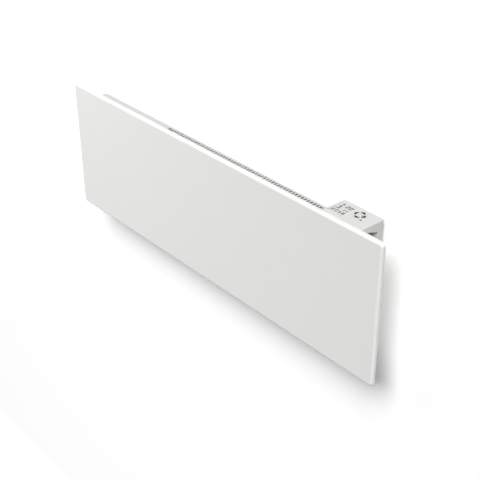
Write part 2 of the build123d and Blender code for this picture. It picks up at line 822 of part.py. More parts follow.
# ---- connections -----------------------------------------------------------------------------
def make_terminal_block():
    """Three-pole block on the back plate with wire and screw holes."""
    body = slab(
        block_left_x,
        block_right_x,
        back_plate_front_y - block_depth,
        back_plate_front_y,
        block_bottom_z,
        block_top_z,
    )
    front_y = back_plate_front_y - block_depth
    middle_z = (block_bottom_z + block_top_z) / 2
    cutters = []
    well = wire_diameter + 2 * wire_well_fit
    for x in pole_xs:
        cutters.append(post_z(x, block_wire_y, block_top_z - wire_well, block_top_z + 1, well))
        cutters.append(post_z(x, block_wire_y, block_bottom_z - 1, block_bottom_z + wire_well, well))
        cutters.append(prism((x, front_y - 1, middle_z), (0, 1, 0), screw_well + 1, screw_head))
    for a, b in zip(pole_xs, pole_xs[1:]):
        left = (a + b - block_groove_width) / 2
        right = (a + b + block_groove_width) / 2
        floor_y = front_y + block_groove_depth
        cutters.append(slab(left, right, front_y - 1, floor_y, block_bottom_z - 1, block_top_z + 1))
    return body - cutters


def make_terminal_screws():
    floor_y = back_plate_front_y - block_depth + screw_well
    middle_z = (block_bottom_z + block_top_z) / 2
    head = screw_head - 2 * terminal_screw_fit
    return [
        prism((x, floor_y - terminal_screw_height, middle_z), (0, 1, 0), terminal_screw_height, head)
        for x in pole_xs
    ]


def make_earth_screw():
    place = (earth_x, back_plate_front_y - earth_tag_thickness, earth_z)
    direction = (0, 1, 0)
    return [m4_screw(place, direction, earth_screw_grip)]


def make_cable_gland():
    """Gland for the mains cable, under the casing's bottom sheet: thread, hexagon and taper."""
    collar_low = casing_bottom_z - gland_collar
    thread_top = casing_bottom_z + casing_sheet + nut_height + gland_thread_past
    base = (gland_x, inner_y, casing_bottom_z)
    thread = prism(base, (0, 0, 1), thread_top - casing_bottom_z, gland_thread, round_sides)
    hexagon = many_sided(gland_hexagon, 6)
    body = thread + Pos(gland_x, inner_y, collar_low) * extrude(hexagon, gland_collar)
    taper_low = casing_bottom_z - gland_drop
    drop = collar_low - taper_low
    slope = math.degrees(math.atan2((gland_taper_wide - gland_taper_narrow) / 2, drop))
    wide = Pos(gland_x, inner_y, collar_low) * many_sided(gland_taper_wide, round_sides)
    body += extrude(wide, drop, dir=(0, 0, -1), taper=slope)
    return body - rod_z(gland_x, inner_y, taper_low - 1, thread_top + 1, gland_bore)


def make_gland_nut():
    low = casing_bottom_z + casing_sheet
    hexagon = many_sided(nut_across, 6)
    hexagon -= many_sided(gland_thread + 2 * screw_fit, round_sides)
    return Pos(gland_x, inner_y, low) * extrude(hexagon, nut_height)


def make_wires():
    """Internal wires from the terminal block and the boards to what they feed."""
    top = board_z - board_thickness
    x1, x2, x3 = pole_xs
    y = block_wire_y
    port = wire_port_y
    left_pin_x = element_left_x - rod_end - pin_length
    right_pin_x = element_right_x + rod_end + pin_length
    loop_x = left_pin_x - loop_out
    start_z = block_top_z - wire_well + wire_fit
    straight_z = start_z + wire_straight
    drop_z = casing_top_z - wire_drop
    floor_z = casing_bottom_z + wire_notch
    back_y = back_plate_front_y - wire_clear
    blade_y = inner_y + blade_gap / 2
    tag_y = back_plate_front_y - wire_diameter / 2
    live_x = x1 - block_pitch / 6
    pair_x = x2 - block_pitch / 3
    pair_y = port + wire_offset
    feed_x = x1 - block_pitch / 1.5
    cutout_feed_x = x2 + block_pitch / 3
    cutout_feed_y = port + wire_offset / 3
    live = wire((x1, y, start_z), (x1, y, straight_z), (live_x, port, drop_z), (live_x, port, top))
    neutral = wire(
        (x2, y, start_z),
        (x2, y, straight_z - wire_bend),
        (pair_x, pair_y, drop_z),
        (pair_x, pair_y, top),
    )
    earth = wire(
        (x3, y, start_z),
        (x3, y, start_z + earth_rise),
        (x3 + earth_jog, y, earth_z),
        (earth_x - earth_tag_reach, tag_y, earth_z),
    )
    left_feed = wire(
        (feed_x, port, top),
        (feed_x, port, drop_z),
        (shield_x + wire_bend, back_y, cutout_z + loop_rise),
        (shield_x + wire_bend, back_y, floor_z),
        (loop_x, back_y, floor_z),
        (loop_x, inner_y, element_z),
        (left_pin_x, inner_y, element_z),
    )
    cutout_feed = wire(
        (cutout_feed_x, cutout_feed_y, top),
        (cutout_feed_x, cutout_feed_y, drop_z),
        (shield_x + 2 * block_pitch, blade_y, cutout_z),
        (blade_end_x, blade_y, cutout_z),
    )
    rod_feed = wire(
        (blade_end_x, inner_y - blade_gap / 2, cutout_z),
        (blade_end_x + wire_bend, inner_y - blade_gap / 2, cutout_z),
        (right_pin_x + wire_bend, inner_y, element_z),
        (right_pin_x, inner_y, element_z),
    )
    return {
        "wire_live": live,
        "wire_neutral": neutral,
        "wire_earth": earth,
        "wire_element_left": left_feed,
        "wire_cutout": cutout_feed,
        "wire_element_right": rod_feed,
    }


# ---- control housing -------------------------------------------------------------------------


def key_outline(gap, angle):
    """Quarter of the key ring seen from above, drawn in by gap on every side."""
    ring = Circle(key_ring_outer - gap) - Circle(key_ring_inner + gap)
    start = (key_web / 2 + gap) * math.sqrt(2)
    reach = 2 * key_ring_outer
    wedge = Polygon((start, 0), (start + reach, -reach), (start + reach, reach), align=None)
    quarter = ring & wedge
    quarter = chamfer(quarter.vertices(), key_corner)
    return Pos(ring_x, ring_y) * Rot(0, 0, angle) * quarter


def standby_outline(gap):
    return Pos(standby_x, standby_y) * many_sided(standby_diameter - 2 * gap, standby_sides)


def raised(sketch, z0, z1):
    """Sketch lifted to z0 and extruded up to z1."""
    return Pos(0, 0, z0) * extrude(sketch, z1 - z0, dir=(0, 0, 1))


def window_block(inset, z0, z1):
    """Block of the window's outline, drawn in by inset."""
    half_width = window_width / 2 - inset
    half_length = window_length / 2 - inset
    return slab(
        window_x - half_width,
        window_x + half_width,
        window_y - half_length,
        window_y + half_length,
        z0,
        z1,
    )


def make_control_cover():
    """L-shaped moulded cover: a flat top, three sides and a leg behind the casing."""
    side = [
        (control_front_y, control_top_z),
        (control_back_y, control_top_z),
        (control_back_y, leg_bottom_z),
        (leg_front_y, leg_bottom_z),
        (leg_front_y, arm_bottom_z - control_slope_drop),
        (control_front_y + control_slope_start, arm_bottom_z),
        (control_front_y, arm_bottom_z),
    ]
    profile = Plane.YZ * make_face(Polyline(*side, close=True))
    body = Pos(control_left_x, 0, 0) * extrude(profile, control_width, dir=(1, 0, 0))
    upright_edges = body.edges().filter_by(Axis.Z).group_by(Axis.Y)[-1]
    body = fillet(upright_edges, control_corner)
    body = fillet(body.faces().sort_by(Axis.Z)[-1].edges(), control_top_edge)
    body -= slab(
        control_left_x + control_skin,
        control_right_x - control_skin,
        control_front_y + control_skin,
        control_back_y - control_skin,
        leg_bottom_z - 1,
        control_inner_z,
    )
    for x in cover_screw_xs:
        low = leg_bottom_z + base_plate
        boss = post_z(x, cover_screw_y, low, low + cover_boss_height, cover_boss)
        body += boss - post_z(x, cover_screw_y, low - 1, low + cover_boss_height - 2, small_screw)
    cutters = [window_block(0, control_top_z - window_thickness, control_top_z + 1)]
    cutters.append(window_block(window_ledge, control_inner_z - 1, control_top_z))
    for angle in key_angles.values():
        cutters.append(raised(key_outline(0, angle), control_inner_z - 1, control_top_z + 1))
    cutters.append(raised(standby_outline(0), control_inner_z - 1, control_top_z + 1))
    cutters.append(
        slab(
            control_left_x - 1,
            casing_right_x + sheet_fit,
            casing_front_y - 1,
            casing_back_y + sheet_fit,
            casing_bottom_z,
            casing_top_z,
        )
    )
    return body - cutters


def make_control_base():
    """Moulding that closes the housing, rests on the casing and carries the boards."""
    left = control_left_x + control_skin + moulding_fit
    right = control_right_x - control_skin - moulding_fit
    front = control_front_y + control_skin + moulding_fit
    back = control_back_y - control_skin - moulding_fit
    wall_y = leg_front_y + base_plate
    body = slab(left, right, front, wall_y, casing_top_z, base_top_z)
    body += slab(left, right, leg_front_y, wall_y, leg_bottom_z, base_top_z)
    body += slab(left, right, leg_front_y, back, leg_bottom_z, leg_bottom_z + base_plate)
    for x, y in post_places:
        body += post_z(x, y, base_top_z, board_z - board_thickness, post_diameter)
    for x, z in power_board_posts:
        body += prism((x, wall_y, z), (0, 1, 0), power_board_y - wall_y, post_diameter)
    cutters = [
        slab(
            wire_port_x - wire_port_width / 2,
            wire_port_x + wire_port_width / 2,
            wire_port_y - wire_port_depth / 2,
            wire_port_y + wire_port_depth / 2,
            casing_top_z - 1,
            base_top_z + 1,
        )
    ]
    for x, y in post_places:
        cutters.append(post_z(x, y, base_top_z, board_z, small_screw))
    for x, y in base_screw_places:
        cutters.append(hole_z(x, y, base_top_z, hole_m3))
    for x in cover_screw_xs:
        cutters.append(hole_z(x, cover_screw_y, leg_bottom_z, hole_m3))
    vent_y = (wall_y + back) / 2
    vent_top = leg_bottom_z + base_plate + 1
    for place in Pos(control_mid_x, vent_y) * GridLocations(vent_pitch, 1, vent_count, 1):
        vent = place * Rectangle(vent_width, vent_length)
        cutters.append(raised(vent, leg_bottom_z - 1, vent_top))
    return body - cutters


def make_display_window():
    return window_block(window_fit, control_top_z - window_thickness, control_top_z)


def make_lcd_module():
    """Display module on the board; its glass stands up into the cover's opening."""
    glass_top = control_top_z - window_thickness - sheet_fit
    frame_top = control_inner_z - lcd_frame
    body = window_block(window_ledge + moulding_fit, frame_top, glass_top)
    body += window_block(window_ledge - lcd_frame, board_z, frame_top)
    return body


def make_control_board():
    board = slab(
        control_left_x + board_edge,
        control_right_x - board_edge,
        control_front_y + board_edge,
        control_back_y - board_edge,
        board_z - board_thickness,
        board_z,
    )
    return board - [hole_z(x, y, board_z, hole_m3) for x, y in post_places]


def make_board_screws():
    return [
        m3_screw((x, y, board_z), (0, 0, -1), board_screw_grip, small_screw - screw_fit)
        for x, y in post_places
    ]


def make_power_board():
    return slab(
        power_board_left,
        power_board_right,
        power_board_y,
        power_board_rear_y,
        power_board_bottom,
        board_z - board_thickness,
    )


def make_relay():
    left = power_board_left + relay_inset
    bottom = power_board_bottom + relay_rise
    rear = power_board_rear_y + relay_height
    return slab(left, left + relay_length, power_board_rear_y, rear, bottom, bottom + relay_width)


def make_capacitor():
    x = power_board_left + capacitor_inset
    bottom = power_board_bottom + capacitor_rise
    y = power_board_rear_y + capacitor_diameter / 2 + sheet_fit
    return prism((x, y, bottom), (0, 0, 1), capacitor_height, capacitor_diameter, round_sides)


def make_room_sensor():
    """Bead thermistor on the power board's lower edge, above the vents."""
    x = control_mid_x + sensor_right
    y = (power_board_y + power_board_rear_y) / 2
    bead_low = power_board_bottom - bead_drop
    bead_high = bead_low + bead_length
    body = post_z(x, y, bead_low, bead_high, bead_diameter)
    for side in (-lead_gap / 2, lead_gap / 2):
        body += post_z(x + side, y, bead_high - 1, power_board_bottom, lead_diameter)
    return body


def key_switch_places():
    """Centre of each key's switch."""
    places = {}
    for name, angle in key_angles.items():
        turn = math.radians(angle)
        places[name] = (
            ring_x + key_stem_radius * math.cos(turn),
            ring_y + key_stem_radius * math.sin(turn),
        )
    places["standby"] = (standby_x, standby_y)
    return places


def make_key_switches():
    """Small push switches under the keys, each with a well for the key's stem."""
    half = switch_side / 2
    switches = []
    well_low = switch_top_z - stem_depth - key_travel - 2 * plunger_fit
    for x, y in key_switch_places().values():
        body = slab(x - half, x + half, y - half, y + half, board_z, switch_top_z)
        well = post_z(x, y, well_low, switch_top_z + 1, key_stem + 2 * plunger_fit)
        switches.append(body - well)
    return switches


def make_key(name):
    """Key cap with the rim that holds it under the cover and its stem."""
    if name == "standby":
        cap_outline = standby_outline(key_fit)
        rim_outline = standby_outline(-key_rim)
    else:
        cap_outline = key_outline(key_fit, key_angles[name])
        rim_outline = key_outline(-key_rim, key_angles[name])
    cap = raised(cap_outline, rim_bottom_z, control_top_z + key_proud)
    rim = raised(rim_outline, rim_bottom_z, control_inner_z)
    x, y = key_switch_places()[name]
    stem = post_z(x, y, switch_top_z - stem_depth, rim_bottom_z, key_stem)
    return cap + rim + stem


def make_housing_screws():
    """Screws of the base (into the casing's top) and of the cover (from below)."""
    base = [m3_screw((x, y, base_top_z), (0, 0, -1), base_screw_grip) for x, y in base_screw_places]
    grip = base_plate + cover_boss_height - small_screw
    cover = [
        m3_screw((x, cover_screw_y, leg_bottom_z), (0, 0, 1), grip, small_screw - screw_fit)
        for x in cover_screw_xs
    ]
    return base + cover


# ---- wall bracket ----------------------------------------------------------------------------
def make_upright(x):
    """Folded strip on the wall: a hook at the top and a foot with the catch's hole below."""
    half = bracket_plate / 2
    corners = [
        (hook_tip_y, hook_z + hook_tip),
        (hook_tip_y, hook_z - half),
        (-half, hook_z - half),
        (-half, foot_z),
        (foot_tab_y, foot_z),
        (foot_tab_y, foot_z - foot_height + half),
    ]
    left = x - upright_width / 2
    strip = folded_sheet(corners, bracket_plate, bend_radius, left, left + upright_width)
    cutters = [rod_y(x, foot_tab_y - 3, foot_tab_y + 3, catch_z, catch_shaft + 2 * catch_fit)]
    slot = SlotOverall(wall_slot_length, wall_slot_width)
    for z in (-wall_slot_spacing / 2, wall_slot_spacing / 2):
        face = Plane((x, 1, z), x_dir=(1, 0, 0), z_dir=(0, -1, 0)) * slot
        cutters.append(extrude(face, bracket_plate + 2, dir=(0, -1, 0)))
    for z in rivet_zs:
        cutters += holes_y([(x, z)], rivet_diameter + 2 * rivet_fit, -bracket_plate)
    return strip - cutters


def make_rail():
    """Lipped rail across the front of the two uprights."""
    middle = -1.5 * bracket_plate
    top = rail_height / 2
    corners = [
        (middle - rail_lip, top - bracket_plate / 2),
        (middle, top - bracket_plate / 2),
        (middle, -top + bracket_plate / 2),
        (middle - rail_lip, -top + bracket_plate / 2),
    ]
    reach = upright_x + rail_past_uprights
    rail = folded_sheet(corners, bracket_plate, bend_radius, -reach, reach)
    places = [(x, z) for x in (-upright_x, upright_x) for z in rivet_zs]
    return rail - holes_y(places, rivet_diameter + 2 * rivet_fit, middle)


def make_rivets():
    """Rivets that hold the rail to the uprights, flush at the wall."""
    grip = 2 * bracket_plate
    return [
        pan_screw((x, -grip, z), (0, 1, 0), grip, rivet_diameter, rivet_head, rivet_head_height)
        for x in (-upright_x, upright_x)
        for z in rivet_zs
    ]


def make_catch_bolt(x):
    """T-headed bolt: the head lies across the slot, inside the casing's back plate."""
    head_rear = doubler_front_y - catch_play
    head_front = head_rear - catch_head_thickness
    outline = Rectangle(catch_head_length, catch_head_width)
    outline = chamfer(outline.vertices(), catch_head_bevel)
    head = Plane((x, head_rear, catch_z), x_dir=(1, 0, 0), z_dir=(0, -1, 0)) * outline
    bolt = extrude(head, catch_head_thickness, dir=(0, -1, 0))
    return bolt + rod_y(x, head_front, lever_rear_y, catch_z, catch_shaft)


def make_catch_lever(x):
    """Finger lever pressed on the bolt, behind the bracket's foot."""
    outline = many_sided(catch_hub, round_sides)
    outline += Pos(0, -catch_lever_length / 2) * Rectangle(catch_head_width, catch_lever_length)
    outline += Pos(0, -catch_lever_length) * many_sided(catch_head_width, round_sides)
    outline -= many_sided(catch_shaft + 2 * catch_press_fit, round_sides)
    face = Plane((x, lever_front_y, catch_z), x_dir=(-1, 0, 0), z_dir=(0, 1, 0)) * outline
    return extrude(face, catch_lever_thickness, dir=(0, 1, 0))


# ---- build -----------------------------------------------------------------------------------
nodes = {
    "front_panel": make_front_panel(),
    "panel_rail_upper": make_panel_rail(casing_top_z, 1, upper_rail_holes),
    "panel_rail_lower": make_panel_rail(casing_bottom_z, -1, lower_rail_holes),
    "panel_screws": group(make_panel_screws()),
    "outlet_grille": make_outlet_grille(),
    "inlet_grille": make_inlet_grille(),
    "back_plate": make_back_plate(),
    "end_plate_left": make_end_plate(casing_left_x, 1),
    "end_plate_right": make_end_plate(casing_right_x, -1),
    "casing_screws": group(make_casing_screws()),
    "heating_element": make_element(),
    "heating_rod": make_heating_rod(),
    "element_bracket_left": make_element_bracket(left_bracket_x, -1),
    "element_bracket_right": make_element_bracket(right_bracket_x, 1),
    "rod_bush_left": make_bush(left_bracket_x, 1),
    "rod_bush_right": make_bush(right_bracket_x, -1),
    "thermal_cutout": make_cutout(),
    "heat_shield": make_heat_shield(),
    "chassis_screws": group(make_chassis_screws()),
    "terminal_block": make_terminal_block(),
    "terminal_screws": group(make_terminal_screws()),
    "earth_screw": group(make_earth_screw()),
    "cable_gland": make_cable_gland(),
    "gland_nut": make_gland_nut(),
    "control_cover": make_control_cover(),
    "control_base": make_control_base(),
    "display_window": make_display_window(),
    "lcd_module": make_lcd_module(),
    "control_board": make_control_board(),
    "board_screws": group(make_board_screws()),
    "power_board": make_power_board(),
    "relay": make_relay(),
    "capacitor": make_capacitor(),
    "room_sensor": make_room_sensor(),
    "key_switches": group(make_key_switches()),
    "housing_screws": group(make_housing_screws()),
    "bracket_rail": make_rail(),
    "bracket_rivets": group(make_rivets()),
}
nodes.update(make_wires())
for key_name in list(key_angles) + ["standby"]:
    nodes["key_" + key_name] = make_key(key_name)
for side_name, side_x in (("left", -upright_x), ("right", upright_x)):
    nodes["bracket_upright_" + side_name] = make_upright(side_x)
    nodes["catch_bolt_" + side_name] = make_catch_bolt(side_x)
    nodes["catch_lever_" + side_name] = make_catch_lever(side_x)
    nodes["hook_doubler_" + side_name] = make_hook_doubler(side_x)
    nodes["catch_doubler_" + side_name] = make_catch_doubler(side_x)

os.makedirs("parts", exist_ok=True)
for name, shape in nodes.items():
    export_step(shape, "parts/" + name + ".step")
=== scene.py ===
import json
import math

import bmesh
import bpy
from mathutils import Matrix, Vector


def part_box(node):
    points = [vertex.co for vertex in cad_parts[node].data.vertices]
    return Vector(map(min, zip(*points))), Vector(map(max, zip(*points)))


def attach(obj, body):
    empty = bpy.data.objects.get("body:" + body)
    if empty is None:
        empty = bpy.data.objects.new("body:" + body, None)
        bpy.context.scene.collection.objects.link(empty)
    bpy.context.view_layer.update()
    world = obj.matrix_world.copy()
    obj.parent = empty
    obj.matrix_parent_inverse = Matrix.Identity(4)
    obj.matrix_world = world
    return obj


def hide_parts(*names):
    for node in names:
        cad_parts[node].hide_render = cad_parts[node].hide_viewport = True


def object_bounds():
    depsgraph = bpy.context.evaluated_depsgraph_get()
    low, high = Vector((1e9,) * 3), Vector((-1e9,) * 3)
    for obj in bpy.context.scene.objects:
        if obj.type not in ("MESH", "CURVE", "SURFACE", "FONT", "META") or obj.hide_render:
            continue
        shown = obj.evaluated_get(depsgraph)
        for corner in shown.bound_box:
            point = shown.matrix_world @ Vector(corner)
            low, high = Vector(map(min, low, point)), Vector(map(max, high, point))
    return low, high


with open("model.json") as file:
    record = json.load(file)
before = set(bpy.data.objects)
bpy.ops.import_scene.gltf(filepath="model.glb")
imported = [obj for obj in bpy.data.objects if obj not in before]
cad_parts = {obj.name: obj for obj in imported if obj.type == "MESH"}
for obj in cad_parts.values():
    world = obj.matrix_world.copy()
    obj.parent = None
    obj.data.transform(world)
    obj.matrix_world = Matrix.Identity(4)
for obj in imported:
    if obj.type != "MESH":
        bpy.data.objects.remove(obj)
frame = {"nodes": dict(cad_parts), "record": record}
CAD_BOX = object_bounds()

bl_info = {
    "name": "Wall panel convector heater",
    "version": (1, 0, 0),
    "blender": (4, 5, 0),
    "location": "View3D > Sidebar > Heater",
    "description": "Finishes, printed marks, fasteners and studio for a slim wall heater",
    "category": "Object",
}

MM = 0.001
HEATER = "heater"          # body that carries the display, the screws, the gland and the welds
GRAIN_ENDS = (0.3, 0.7)    # values that a noise mostly stays between


# ---- colours and nodes -------------------------------------------------------------------------
def linear(code):
    """Linear RGB of an sRGB hex colour."""
    values = [int(code[i:i + 2], 16) / 255 for i in (0, 2, 4)]
    return tuple(v / 12.92 if v <= 0.04045 else ((v + 0.055) / 1.055) ** 2.4 for v in values)


def shade(colour, share):
    """Colour made darker by a share of itself."""
    return tuple(v * (1 - share) for v in colour)


def per_metre(size_mm):
    """Texture scale whose features are about size_mm across."""
    return 1.0 / (size_mm * MM)


def output_of(source):
    """The output itself, or the first that a node has in use."""
    if isinstance(source, bpy.types.Node):
        return next(output for output in source.outputs if output.enabled)
    return source


def node(tree, kind, inputs=None, to=None, **settings):
    """Adds a node. Each input is a value, an output or a node; to is an input that it feeds."""
    made = tree.nodes.new("ShaderNode" + kind)
    for key, value in settings.items():
        setattr(made, key, value)
    for socket, value in (inputs or {}).items():
        if isinstance(value, (bpy.types.Node, bpy.types.NodeSocket)):
            tree.links.new(output_of(value), made.inputs[socket])
        else:
            made.inputs[socket].default_value = value
    if to is not None:
        tree.links.new(output_of(made), to)
    return made


def new_material(name, **sockets):
    """Material with one Principled shader; sockets are its inputs, with _ for each space."""
    material = bpy.data.materials.new(name)
    material.use_nodes = True
    tree = material.node_tree
    shader = tree.nodes["Principled BSDF"]
    for key, value in sockets.items():
        shader.inputs[key.replace("_", " ")].default_value = value
    place = node(tree, "TexCoord").outputs["Object"]
    return material, tree, shader, place


def mottled(tree, shader, place, dark, light, size_mm, detail=2.0):
    """Colour that drifts from dark to light over a grain of real size. Returns the grain."""
    pattern = {"Vector": place, "Scale": per_metre(size_mm), "Detail": detail}
    grain = node(tree, "TexNoise", pattern)
    ends = {"Factor": grain, "A": (*dark, 1), "B": (*light, 1)}
    node(tree, "Mix", ends, shader.inputs["Base Color"], data_type="RGBA")
    return grain


def roughen(tree, shader, grain, rough=None, depth_mm=0.0, ends=GRAIN_ENDS):
    """What a grain does to the surface: roughness between two values, and relief."""
    if rough:
        reach = {"From Min": ends[0], "From Max": ends[1], "To Min": rough[0], "To Max": rough[1]}
        node(tree, "MapRange", {"Value": grain, **reach}, shader.inputs["Roughness"])
    if depth_mm:
        relief = {"Height": grain, "Distance": depth_mm * MM, "Strength": 1.0}
        node(tree, "Bump", relief, shader.inputs["Normal"])


# ---- sizes and colours a user would change -----------------------------------------------------
class HeaterColours(bpy.types.PropertyGroup):
    """Colours of the heater's finishes."""

    panel: bpy.props.FloatVectorProperty(
        name="Panel enamel",
        description="Powder coat of the folded front",
        subtype="COLOR",
        size=3,
        min=0.0,
        max=1.0,
        default=linear("E0E0DE"),
    )
    casing: bpy.props.FloatVectorProperty(
        name="Casing enamel",
        description="Powder coat of the casing behind the panel",
        subtype="COLOR",
        size=3,
        min=0.0,
        max=1.0,
        default=linear("C1C1BF"),
    )
    bracket: bpy.props.FloatVectorProperty(
        name="Bracket enamel",
        description="Powder coat of the wall bracket",
        subtype="COLOR",
        size=3,
        min=0.0,
        max=1.0,
        default=linear("CCCCC9"),
    )
    housing: bpy.props.FloatVectorProperty(
        name="Housing plastic",
        description="Moulded plastic of the control housing",
        subtype="COLOR",
        size=3,
        min=0.0,
        max=1.0,
        default=linear("CACAC8"),
    )
    ink: bpy.props.FloatVectorProperty(
        name="Printed ink",
        description="Ink of the marks on the keys",
        subtype="COLOR",
        size=3,
        min=0.0,
        max=1.0,
        default=linear("121416"),
    )
    display: bpy.props.FloatVectorProperty(
        name="Display ground",
        description="Unlit ground of the reflective display",
        subtype="COLOR",
        size=3,
        min=0.0,
        max=1.0,
        default=linear("CECECB"),
    )
    segment: bpy.props.FloatVectorProperty(
        name="Display segments",
        description="Dark segments of the display",
        subtype="COLOR",
        size=3,
        min=0.0,
        max=1.0,
        default=linear("0E1012"),
    )


class HeaterSizes(bpy.types.PropertyGroup):
    """Sizes of the printed marks, the display and the fasteners."""

    digit_height: bpy.props.FloatProperty(
        name="Digit height",
        description="Height of the display's clock digits",
        unit="LENGTH",
        default=7.8 * MM,
        min=2.0 * MM,
    )
    digit_stroke: bpy.props.FloatProperty(
        name="Digit stroke",
        description="Width of one segment of a clock digit",
        unit="LENGTH",
        default=1.7 * MM,
        min=0.2 * MM,
    )
    degree_height: bpy.props.FloatProperty(
        name="Degree height",
        description="Height of the display's temperature digits",
        unit="LENGTH",
        default=9.4 * MM,
        min=2.0 * MM,
    )
    ink_height: bpy.props.FloatProperty(
        name="Ink height",
        description="Thickness of the printed marks and display segments",
        unit="LENGTH",
        default=0.04 * MM,
        min=0.01 * MM,
    )
    chevron_width: bpy.props.FloatProperty(
        name="Chevron width",
        description="Width of the arrow mark on each quarter key",
        unit="LENGTH",
        default=12.4 * MM,
        min=1.0 * MM,
    )
    chevron_stroke: bpy.props.FloatProperty(
        name="Chevron stroke",
        description="Width of the arrow mark's line",
        unit="LENGTH",
        default=4.3 * MM,
        min=0.3 * MM,
    )
    recess_depth: bpy.props.FloatProperty(
        name="Screw recess",
        description="Depth of the cross recess in a screw's head",
        unit="LENGTH",
        default=1.2 * MM,
        min=0.2 * MM,
    )


class HeaterStudio(bpy.types.PropertyGroup):
    """Light, wall and floor."""

    sun_strength: bpy.props.FloatProperty(
        name="Main light",
        description="Strength of the soft, even light from the upper right",
        default=4.0,
        min=0.0,
    )
    side_strength: bpy.props.FloatProperty(
        name="Side light",
        description="Strength of the soft light on the heater's right side",
        default=1.0,
        min=0.0,
    )
    back_strength: bpy.props.FloatProperty(
        name="Back light",
        description="Strength of the soft light on the heater's back",
        default=1.8,
        min=0.0,
    )
    front_power: bpy.props.FloatProperty(
        name="Front light",
        description="Power of the large soft light before the heater",
        unit="POWER",
        default=4.6,
        min=0.0,
    )
    right_power: bpy.props.FloatProperty(
        name="Right light",
        description="Power of the soft light on the right",
        unit="POWER",
        default=0.8,
        min=0.0,
    )
    ambient: bpy.props.FloatProperty(
        name="Ambient",
        description="Strength of the white surroundings as a light",
        default=0.1,
        min=0.0,
        max=1.0,
    )
    floor_drop: bpy.props.FloatProperty(
        name="Floor drop",
        description="Floor below the heater's lower edge",
        unit="LENGTH",
        default=1.4,
        min=0.0,
    )


def colours():
    """Colours that the sidebar shows."""
    return bpy.context.scene.heater_colours


def sizes():
    """Sizes that the sidebar shows."""
    return bpy.context.scene.heater_sizes


# ---- materials ---------------------------------------------------------------------------------
def powder_coated_steel(name, colour, grain_mm, depth_mm, roughness):
    """Epoxy-polyester powder coat, baked on: even colour, faint orange peel, soft shine."""
    material, tree, shader, place = new_material(name, Roughness=roughness, IOR=1.5)
    mottled(tree, shader, place, shade(colour, 0.02), colour, 60.0, detail=3.0)
    patchy = {"Vector": place, "Scale": per_metre(25.0), "Detail": 4.0}
    patches = node(tree, "TexNoise", patchy)
    roughen(tree, shader, patches, rough=(roughness - 0.04, roughness + 0.05))
    orange_peel = {"Vector": place, "Scale": per_metre(grain_mm), "Detail": 2.5}
    roughen(tree, shader, node(tree, "TexNoise", orange_peel), depth_mm=depth_mm)
    return material


def zinc_plated_steel():
    """Bright zinc, electroplated and passivated: silver with a faint blue and straw cast."""
    material, tree, shader, place = new_material("zinc_plated_steel", Metallic=1.0, Roughness=0.3)
    cast = mottled(tree, shader, place, linear("B9BFC6"), linear("C9C6BA"), 3.0, detail=3.0)
    roughen(tree, shader, cast, rough=(0.24, 0.4))
    tool_marks = node(tree, "TexNoise", {"Vector": place, "Scale": per_metre(0.8)})
    roughen(tree, shader, tool_marks, depth_mm=0.01)
    return material


def galvanised_steel():
    """Hot-dip galvanised sheet: grey crystals about 9 mm across, each with its own shine."""
    material, tree, shader, place = new_material("galvanised_steel", Metallic=1.0, Roughness=0.42)
    spangle = node(tree, "TexVoronoi", {"Vector": place, "Scale": per_metre(9.0)})
    crystal = node(tree, "SeparateColor", {"Color": spangle.outputs["Color"]})
    greys = {"Factor": crystal, "A": (*linear("9DA1A4"), 1), "B": (*linear("BFC3C5"), 1)}
    node(tree, "Mix", greys, shader.inputs["Base Color"], data_type="RGBA")
    roughen(tree, shader, crystal, rough=(0.32, 0.52), ends=(0.0, 1.0))
    ripple = node(tree, "TexNoise", {"Vector": place, "Scale": per_metre(2.0)})
    roughen(tree, shader, ripple, depth_mm=0.01)
    return material


def extruded_aluminium():
    """Mill-finish aluminium: pale grey with fine die lines along the extrusion."""
    material, tree, shader, place = new_material(
        "extruded_aluminium", Metallic=1.0, Roughness=0.36
    )
    along = node(tree, "Mapping", {"Vector": place, "Scale": (0.01, 1, 1)})
    die_lines = mottled(tree, shader, along, linear("BBBDBE"), linear("D2D3D3"), 0.7, detail=3.0)
    roughen(tree, shader, die_lines, rough=(0.3, 0.45), depth_mm=0.02)
    return material


def drawn_stainless():
    """Drawn stainless tube, darkened straw to brown where it has been hot."""
    material, tree, shader, place = new_material("drawn_stainless", Metallic=1.0, Roughness=0.3)
    bands = node(tree, "Mapping", {"Vector": place, "Scale": (1, 0.3, 0.3)})
    mottled(tree, shader, bands, linear("7C7166"), linear("B4AEA4"), 18.0, detail=3.0)
    along = node(tree, "Mapping", {"Vector": place, "Scale": (0.05, 1, 1)})
    draw_lines = node(tree, "TexNoise", {"Vector": along, "Scale": per_metre(0.5)})
    roughen(tree, shader, draw_lines, depth_mm=0.01)
    return material


def fired_steatite():
    """Unglazed steatite, pressed and fired: chalky cream with a sugary grain."""
    material, tree, shader, place = new_material("fired_steatite", Roughness=0.75, IOR=1.55)
    speck = mottled(tree, shader, place, linear("DDD5C2"), linear("EBE5D6"), 1.0, detail=4.0)
    roughen(tree, shader, speck, depth_mm=0.06)
    return material


def moulded_abs(name, colour, roughness, grain_mm, depth_mm):
    """Injection-moulded ABS: even colour, soft sheen, spark-eroded grain, drawn coarse to show."""
    material, tree, shader, place = new_material(name, Roughness=roughness, IOR=1.53)
    mottled(tree, shader, place, shade(colour, 0.025), colour, 30.0)
    eroded = {"Vector": place, "Scale": per_metre(grain_mm), "Detail": 3.0}
    rough = (roughness - 0.05, roughness + 0.06)
    roughen(tree, shader, node(tree, "TexNoise", eroded), rough=rough, depth_mm=depth_mm)
    return material


def clear_polycarbonate():
    """Polished clear polycarbonate sheet: nearly unseen, a thin shine over what lies below."""
    material, tree, shader, place = new_material(
        "clear_polycarbonate", Roughness=0.04, IOR=1.585, Alpha=0.03
    )
    mottled(tree, shader, place, linear("EDF0F0"), linear("F7F9F9"), 14.0)
    return material


